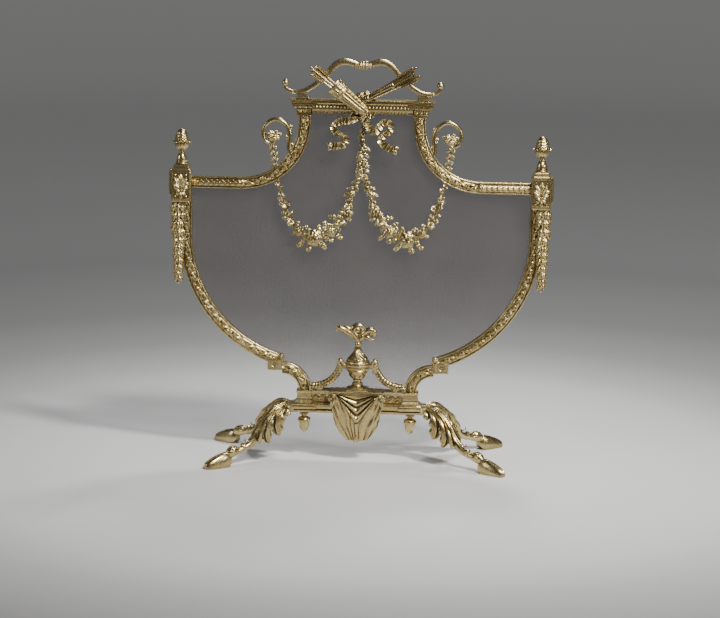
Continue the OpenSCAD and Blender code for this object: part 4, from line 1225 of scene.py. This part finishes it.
def base_pad():
    low, high = pad_low, pad_high
    foot = (high[0] - low[0]) / 2
    x, deep = PAD_X, high[1]
    levels = [(0, 0.6), (0.6, 0), (5.2, 0), (5.8, 0.7), (6.4, 2.2), (7.4, 2.4), (8.0, 1.6), (10.6, 1.6), (11.4, 2.6),
              (12.0, 4.2)]
    for t in np.linspace(0, 1, 9):
        levels.append((12.4 + 9.6 * t, 4.6 + 5.2 * math.sin(t * math.pi / 2)))
    levels += [(22.6, 9.0), (25.0, 9.0), (25.6, 9.8), (34.0, 10.2), (34.6, 9.0), (37.0, 8.4), (39.4, 8.6),
               (40.0, 9.6)]
    squeeze = 1 - BASE_LIFT / (high[2] - low[2])
    levels = [(low[2] + BASE_LIFT + z * squeeze, i) for z, i in levels]
    return moulded_block(x - foot, x + foot, -deep, deep, levels)


def base_rail():
    low, high = box("base_rail")
    front, base = low[1], low[2] + BASE_LIFT
    profile = [(-front, base), (front, base), (front, base + 4.6), (front + 0.9, base + 5.4),
               (front + 0.9, base + 7.0), (front + 2.6, base + 7.6), (front + 3.0, base + 9.4),
               (front + 4.2, base + 10.6), (front + 6.0, base + 11.8), (front + 5.0, high[2]), (-front, high[2])]
    return moulded_rail(low[0] - 4, high[0] + 4, profile)


def frieze_trim():
    """Guilloche rings round the pierced holes, rosettes between them and a beaded cap."""
    low, high = box("base_frieze")
    face, z = low[1] + 10.0, low[2] + 9.5
    shape = Shape()
    for s in (-1, 1):
        for x in (60, 75):
            shape.join(hoop(6.6, 1.5, 32, 8), (s * x, face, z))
        for x in (60, 75):
            shape.join(daisy(5.6, 4), (s * x, face + 1.0, z), (1, 0, 1), FRONT)
        for x in (52.2, 67.5, 83.0):
            shape.join(daisy(4.4, 6), (s * x, face - 0.6, z), (1, 0, 0), FRONT)
            for dz in (-5.5, 5.5):
                shape.join(ball((s * x, face, z + dz), 1.5, 8))
        ends = (-88, -52) if s < 0 else (52, 88)
        shape.join(bead_row(*ends, low[1] + 0.4, high[2] - 3.2, 1.5, 3.8))
        shape.join(tongue_row(*ends, low[1] + 4.0, high[2] - 8.6, 5.6, 5.2))
    return shape


LEG_ANGLE = math.radians(35.4)
LEG_STATIONS = np.array([(-2, 100, 8.5, 8), (8, 100, 9.2, 9.5), (20, 97.5, 9.2, 11.5), (32, 92, 9.0, 12),
                         (44, 83, 8.6, 11.5), (56, 71, 7.8, 10.5), (66, 59, 7.2, 9.5), (77, 46.5, 6.6, 8),
                         (90, 36, 6.2, 7), (104, 30.5, 6.2, 6.6), (117, 27, 6.6, 6.8), (126, 26, 8.4, 9.2),
                         (133, 25.5, 8.8, 9.8), (138, 22, 7.2, 7.8), (146, 18, 8, 8)])


def leg():
    """Right front leg: S-curved cabriole with a draped acanthus, fetlock and cloven hoof."""
    root = np.array([134.0, -12.0, 0.0])
    along = np.array([math.cos(LEG_ANGLE), -math.sin(LEG_ANGLE), 0])
    side = np.array([math.sin(LEG_ANGLE), math.cos(LEG_ANGLE), 0])

    def place(points):
        points = np.asarray(points, float)
        return root + points[:, :1] * along + points[:, 1:2] * side + points[:, 2:3] * UP

    stations = smooth(LEG_STATIONS, 6)
    path = place(np.stack([stations[:, 0], 0 * stations[:, 0], stations[:, 1]], axis=1))
    shape = tube(path, stations[:, 2], 24, stations[:, 3], up=np.array([0, 0, 1.0]) + 0.35 * along)
    crest = np.stack([LEG_STATIONS[:9, 0] + 3, 0 * LEG_STATIONS[:9, 0],
                      LEG_STATIONS[:9, 1] + LEG_STATIONS[:9, 3] * 0.92], axis=1)
    crest = smooth(crest, 5)
    for offset, rise, start, end in ((0, 1.3, 0, 1), (3.4, 0.5, 0.03, 0.86), (-3.4, 0.5, 0.03, 0.86),
                                     (6.2, -1.8, 0.06, 0.7), (-6.2, -1.8, 0.06, 0.7)):
        i0, i1 = int(start * len(crest)), int(end * len(crest))
        ridge = crest[i0:i1].copy()
        u = np.linspace(0, 1, len(ridge))
        ridge[:, 1] += offset * (1 - 0.35 * u)
        ridge[:, 2] += rise
        shape.join(tube(place(ridge), 2.5 * np.sin(math.pi * np.clip(0.08 + 0.84 * u, 0, 1)) ** 0.5, 10))
    lobes = (
        ([(2, 5, 105), (9, 10, 102), (14, 13, 95), (15, 13.5, 87)], 17, 2, 3.2),
        ([(7, 5, 108), (20, 11, 105), (31, 15, 95), (37, 17, 80), (36, 17.5, 64), (31, 17, 52)], 28, 3, 3.8),
        ([(25, 5, 105), (41, 10, 96), (53, 14, 81), (59, 15.5, 63), (58, 16, 48), (52, 15.5, 39)], 23, 3, 3.6),
        ([(42, 4, 97), (57, 8, 82), (68, 11, 65), (74, 12, 50), (73, 12, 40)], 16, 2, 3.0),
    )
    for s in (-1, 1):
        for points, width, count, thick in lobes:
            points = np.array(points, float) * [1, s, 1]
            route = place(smooth(points, 5))
            shape.join(leaf(route, side * s + 0.35 * UP + 0.15 * along, width, lobes=count, notch=0.22, dome=-0.2,
                            groove=-0.26, thick=thick, peak=1.7, sweep=0.2, stations=30, across=15))
            for lean in (-0.55, 0.0, 0.55):
                vein = np.array(smooth(points, 5))
                u = np.linspace(0, 1, len(vein))
                vein[:, 0] += lean * width * 0.42 * u ** 1.4 * (1 - u ** 6)
                vein[:, 1] += s * 1.5
                shape.join(tube(place(vein[1:-2]), 2.3 * np.sin(math.pi * np.clip(0.12 + 0.8 * u[1:-2], 0, 1)) ** 0.6,
                                8))
    curl = smooth([(52, 0, 91), (66, 0, 72), (78, 0, 56), (89, 0, 46), (98, 0, 45), (101, 0, 49)], 5)
    shape.join(leaf(place(curl), UP + 0.6 * along, 15, lobes=2, notch=0.15, dome=0.35, groove=0.3, thick=2.4,
                    peak=1.0, stations=22, across=11))
    for centre, radius in (((104, 0, 33), 8.2), ((128, 0, 27.5), 9.8)):
        ring = [(radius * 0.8, -3.4), (radius, -1.4), (radius, 1.4), (radius * 0.8, 3.4)]
        shape.join(lathe(ring, 24), place([centre])[0], side, along - 0.25 * UP)
    for s in (-1, 0, 1):
        tuft = smooth([(114, 3 * s, 32), (122, 5 * s, 36), (131, 6 * s, 36), (137, 6.5 * s, 32)], 5)
        shape.join(leaf(place(tuft), UP + 0.4 * side * s, 8.5, lobes=0, notch=0, dome=0.4, groove=0.25, thick=1.6,
                        stations=14, across=9))
    rings = []
    for s, low, high, half in ((133, 8, 22, 7.0), (138, 2.5, 27, 10.0), (143, 0.5, 28.5, 11.8), (152, 0, 27.5, 12.4),
                               (163, 0, 24.5, 12.4), (173, 0, 20.5, 12.0), (181, 0, 16.5, 11.0), (187, 0, 13, 9.0),
                               (190, 0.6, 10, 6.6), (191.3, 2.5, 7, 3.6)):
        ring = []
        for a in TAU * np.arange(32) / 32:
            c, d = math.cos(a), math.sin(a)
            width = half * np.sign(c) * abs(c) ** 0.75
            level = low if d < 0 else low + (high - low) * d ** 0.9
            cleft = 3.2 * math.exp(-(width / 1.7) ** 2) * (d > 0) * np.clip((s - 139) / 12, 0, 1)
            ring.append((s, width, max(low, level - cleft)))
        rings.append(place(ring))
    shape.join(loft(np.array(rings)))
    shape.join(moulded_block(124, 143, -23, -1.2, [(98, 0.6), (98.6, 0), (104, 0), (105, 0.8), (107, 1.6),
                                                   (108.5, 3.0)]))
    return shape


def build_lower():
    front_leg = leg()
    cast_pair("garland", garland_right, GILT_RELIEF)
    cast_pair("scroll_loop", scroll_loop(), GILT_RELIEF)
    cast_pair("urn_swag", urn_swag(), GILT_RELIEF)
    cast_pair("base_pad", base_pad(), GILT_PLAIN, *FRAME_LOOK)
    for side, sign in SIDES.items():
        for end, shape in (("front", front_leg), ("back", front_leg.mirrored(1))):
            name = f"leg_{end}"
            make(f"{name}_cast_{side}", shape if sign > 0 else shape.mirrored(), GILT_RELIEF, "screen",
                 [f"{name}_{side}"])
    for build, material, look in ((ribbon_bow, GILT_RELIEF, ()), (garland_drop, GILT_RELIEF, ()),
                                  (urn_body, GILT, (34,)), (urn_lid, GILT_RELIEF, (34,)),
                                  (urn_flame, GILT_RELIEF, ()), (apron, GILT_RELIEF, ()),
                                  (urn_shelf, GILT, FRAME_LOOK), (base_rail, GILT_PLAIN, FRAME_LOOK)):
        cast(build.__name__, build(), material, *look)
    tie = rounded_block((-142, -18.6, 93), (142, 18.6, 98), 0.8)
    make("base_tie_bar", tie, GILT, "screen", ["base_bar"], *FRAME_LOOK)
    make("frieze_trim", frieze_trim(), GILT, "screen", slot="gilt_frame")


# ------------------------------------------------------------------ wire gauze

PITCH = 1.6
WIRE_R = 0.27
BANDS = 7        # the weft is split into this many pieces
gauze_low, gauze_high = box("gauze_panel")


def inside_gauze(x, z):
    """True where the gauze shows between the frame bars; x and z are arrays in millimetres."""
    x = np.abs(x)
    low, high = gauze_low, gauze_high
    shoulder = (x > SHOULDER_CENTRE[0] - SHOULDER_R + 4) & (z > BLOCK_Z)
    near_shoulder = np.hypot(x - SHOULDER_CENTRE[0], z - SHOULDER_CENTRE[1]) < SHOULDER_R - 4
    right_of_centre = x > SHOULDER_CENTRE[0]
    out_top = shoulder & (near_shoulder | (right_of_centre & (z > SHOULDER_CENTRE[1] - SHOULDER_R + 4))
                          | (z > SHOULDER_CENTRE[1]))
    out_side = (z < SIDE_CENTRE[1]) & (np.hypot(x - SIDE_CENTRE[0], z - SIDE_CENTRE[1]) > SIDE_R + 4) \
        & (x > SCROLL_CENTRE[0])
    low_neck = z < PAD_TOP + 52
    out_scroll = low_neck & ((x > SCROLL_CENTRE[0])
                             | (np.hypot(x - SCROLL_CENTRE[0], z - SCROLL_CENTRE[1]) < SCROLL_R - 4))
    out_foot = (z < PAD_TOP) & (x > PAD_X - 16)
    outside = (x > high[0]) | (z < low[2]) | (z > high[2])
    return ~(out_top | out_side | out_scroll | out_foot | outside)


def runs(mask):
    """Start and end index of each True stretch."""
    edge = np.diff(np.concatenate([[0], mask.astype(int), [0]]))
    return list(zip(np.flatnonzero(edge == 1), np.flatnonzero(edge == -1) - 1))


def build_gauze():
    y = (gauze_low[1] + gauze_high[1]) / 2
    count = int(gauze_high[0] / PITCH)
    xs = np.arange(-count, count + 1) * PITCH
    warp = Shape()
    zs = np.arange(gauze_low[2], gauze_high[2], 1.0)
    for x in xs:
        for a, b in runs(inside_gauze(np.full(len(zs), x), zs)):
            if b > a:
                warp.join(loft([[(x + WIRE_R * math.sin(t), y - WIRE_R * math.cos(t), z)
                                 for t in TAU * np.arange(4) / 4]
                                for z in (zs[a], zs[b])]))
    make("gauze_warp", warp, WIRE, "screen", ["gauze_panel"], slot="gauze")
    rows = np.arange(gauze_low[2] + PITCH / 2, gauze_high[2], PITCH)
    open_runs = [inside_gauze(xs, np.full(len(xs), z)) for z in rows]
    area = np.array([mask.sum() for mask in open_runs])
    share = np.cumsum(area) / sum(area)
    t = (TAU * np.arange(3) / 3)[None]
    for band in range(BANDS):
        weft = Shape()
        for j, z in enumerate(rows):
            if not band / BANDS < share[j] <= (band + 1) / BANDS:
                continue
            for a, b in runs(open_runs[j]):
                if b <= a:
                    continue
                n = np.arange(a, b + 1)
                wire_y = (y + 0.3 * np.where((n + j) % 2, 1, -1))[:, None]
                weft.join(loft(np.stack([np.repeat(xs[n][:, None], 3, 1), wire_y - WIRE_R * np.cos(t),
                                         z + WIRE_R * np.sin(t) + 0 * wire_y], axis=-1)))
        make(f"gauze_weft_{band + 1}", weft, WIRE, "screen", ["gauze_panel"], slot="gauze")


# ------------------------------------------------------------------ carried-over CAD parts

def finish_cad_nodes():
    looks = {"leg_screws": BRASS_SCREW, "retainer_screws": BRASS_SCREW}
    for side in SIDES:
        looks.update({f"tie_bolt_{side}": BRASS_SCREW, f"finial_stud_{side}": BRASS_SCREW,
                      f"mesh_retainer_{side}": BRASS_BACK})
    for name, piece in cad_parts.items():
        material = looks.get(name, GILT_PLAIN)
        for slot in piece.material_slots:
            slot.material = material
        if not piece.material_slots:
            piece.data.materials.append(material)


# ------------------------------------------------------------------ stage, camera and light

def studio_material():
    """Graduated studio paper with painted light and shade: its colour is painted pale in the middle of the floor and
    grey towards the walls and the front, standing in for the lamps' falloff, and its far part glows faintly as
    painted light.
    """
    material, feed, add, shader = new_material("paper_painted_light_and_shade")
    place = add("TexCoord", "Object", {})
    radius = add("Math", "Value", {0: add("VectorMath", "Value", {0: place}, operation="LENGTH"), 1: STAGE_RADIUS},
                 operation="DIVIDE")
    # painted light: the paper glows, more strongly farther from the middle, to brighten the far backdrop as if more
    # light fell there
    painted_glow = add("MapRange", "Result", {"From Min": 0.1, "From Max": 0.4, "To Max": 0.06, "Value": radius},
               interpolation_type="SMOOTHSTEP")
    depth = add("SeparateXYZ", "Y", {"Vector": place})
    # painted shade: the paper's colour is multiplied down towards the front (negative y), to 0.18 three metres out,
    # so the floor and the gilt's reflections of it darken there
    front = add("MapRange", "Result", {"From Min": -3.0, "From Max": 0.0, "To Min": 0.18, "Value": depth},
                interpolation_type="SMOOTHSTEP")
    tone = add("Mix", "Result", {"Factor": 1.0, "A": add("ValToRGB", "Color", {"Fac": radius}), "B": front},
               data_type="RGBA", blend_type="MULTIPLY")
    feed(shader, {"Roughness": 0.8, "Specular IOR Level": 0.2, "Emission Color": (1, 1, 1, 1),
                  "Emission Strength": painted_glow, "Base Color": tone})
    # painted light and shade: the paper's grey by distance from the middle, pale under the object, darkest about a
    # third of the way out and lighter again up the walls, set so the lit paper shows the wanted falloff
    set_ramp(material, [(at, (grey,) * 3) for at, grey in (
        (0.0, 0.66), (0.07, 0.65), (0.12, 0.53), (0.142, 0.40), (0.18, 0.255), (0.237, 0.165), (0.35, 0.115),
        (0.5, 0.16), (1.0, 0.36))])
    return material


STAGE_RADIUS = 6.5


def build_stage():
    """Round paper floor that curves up all round, so that every view has the same backdrop."""
    bend, top = 1.4, 4.0
    profile = [(r, 0.0) for r in (0.01, 0.5, 1.0, 2.0, 3.0, 4.0, 5.0, STAGE_RADIUS)]
    profile += [(STAGE_RADIUS + bend * math.sin(a), bend - bend * math.cos(a))
                for a in np.linspace(0, math.pi / 2, 16)[1:]]
    profile.append((STAGE_RADIUS + bend, top))
    sides = 96
    verts = [(r * math.cos(TAU * k / sides), r * math.sin(TAU * k / sides), z)
             for r, z in profile for k in range(sides)]
    faces = [((i + 1) * sides + k, (i + 1) * sides + (k + 1) % sides, i * sides + (k + 1) % sides, i * sides + k)
             for i in range(len(profile) - 1) for k in range(sides)]
    faces.append(tuple(range(sides)))
    mesh = bpy.data.meshes.new("paper_sweep")
    mesh.from_pydata(verts, [], faces)
    mesh.shade_smooth()
    mesh.materials.append(studio_material())
    sweep = bpy.data.objects.new("paper_sweep", mesh)
    bpy.context.scene.collection.objects.link(sweep)


def area_light(name, place, target, size, power, tint=(1, 1, 1)):
    lamp = bpy.data.lights.new(name, "AREA")
    lamp.shape = "RECTANGLE"
    lamp.size, lamp.size_y = size
    lamp.energy = power
    lamp.color = tint
    holder = bpy.data.objects.new(name, lamp)
    holder.location = place
    holder.rotation_mode = "QUATERNION"
    holder.rotation_quaternion = (Vector(target) - Vector(place)).to_track_quat("-Z", "Y")
    bpy.context.scene.collection.objects.link(holder)


def build_light():
    area_light("key_softbox", (2.1, -2.3, 4.2), (0, 0, 0.3), (0.6, 0.6), 255, (1.0, 0.985, 0.95))
    area_light("back_softbox", (0.6, 1.7, 3.0), (0, 0, 0.2), (0.6, 0.6), 62)
    area_light("low_right", (1.7, -0.9, 0.9), (0.2, -0.1, 0.06), (0.3, 0.3), 9)
    area_light("head_softbox", (0.7, -1.3, 1.6), (0, 0, 0.72), (0.5, 0.5), 14)
    area_light("fill_left", (-2.6, -1.2, 1.5), (0, 0, 0.4), (0.5, 1.4), 14, (0.97, 0.98, 1.0))
    world = bpy.data.worlds.new("studio")
    world.use_nodes = True
    background = world.node_tree.nodes["Background"]
    background.inputs["Color"].default_value = (0.95, 0.96, 1.0, 1)
    background.inputs["Strength"].default_value = 0.06
    bpy.context.scene.world = world


def build_camera():
    """Long lens, a little above the middle of the object, with the slight tilt of the horizon."""
    lens, distance = 120.0, 4.70
    elevation, azimuth, roll = math.radians(11.0), math.radians(1.8), math.radians(1.05)
    aim = Vector((0.002, 0.0, 0.2995))
    back = Vector((math.sin(azimuth) * math.cos(elevation), -math.cos(azimuth) * math.cos(elevation),
                   math.sin(elevation)))
    data = bpy.data.cameras.new("camera")
    data.lens, data.sensor_width = lens, 36.0
    data.clip_start, data.clip_end = 0.05, 50.0
    camera = bpy.data.objects.new("camera", data)
    facing = (-back).to_track_quat("-Z", "Y").to_matrix().to_4x4()
    camera.matrix_world = Matrix.Translation(aim + back * distance) @ facing @ Matrix.Rotation(roll, 4, "Z")
    bpy.context.scene.collection.objects.link(camera)
    bpy.context.scene.camera = camera


garland_right = garland()     # comes first, because it makes the first random draws
build_bars()
build_corners()
build_head()
build_lower()
build_gauze()
finish_cad_nodes()
build_stage()
build_light()
build_camera()
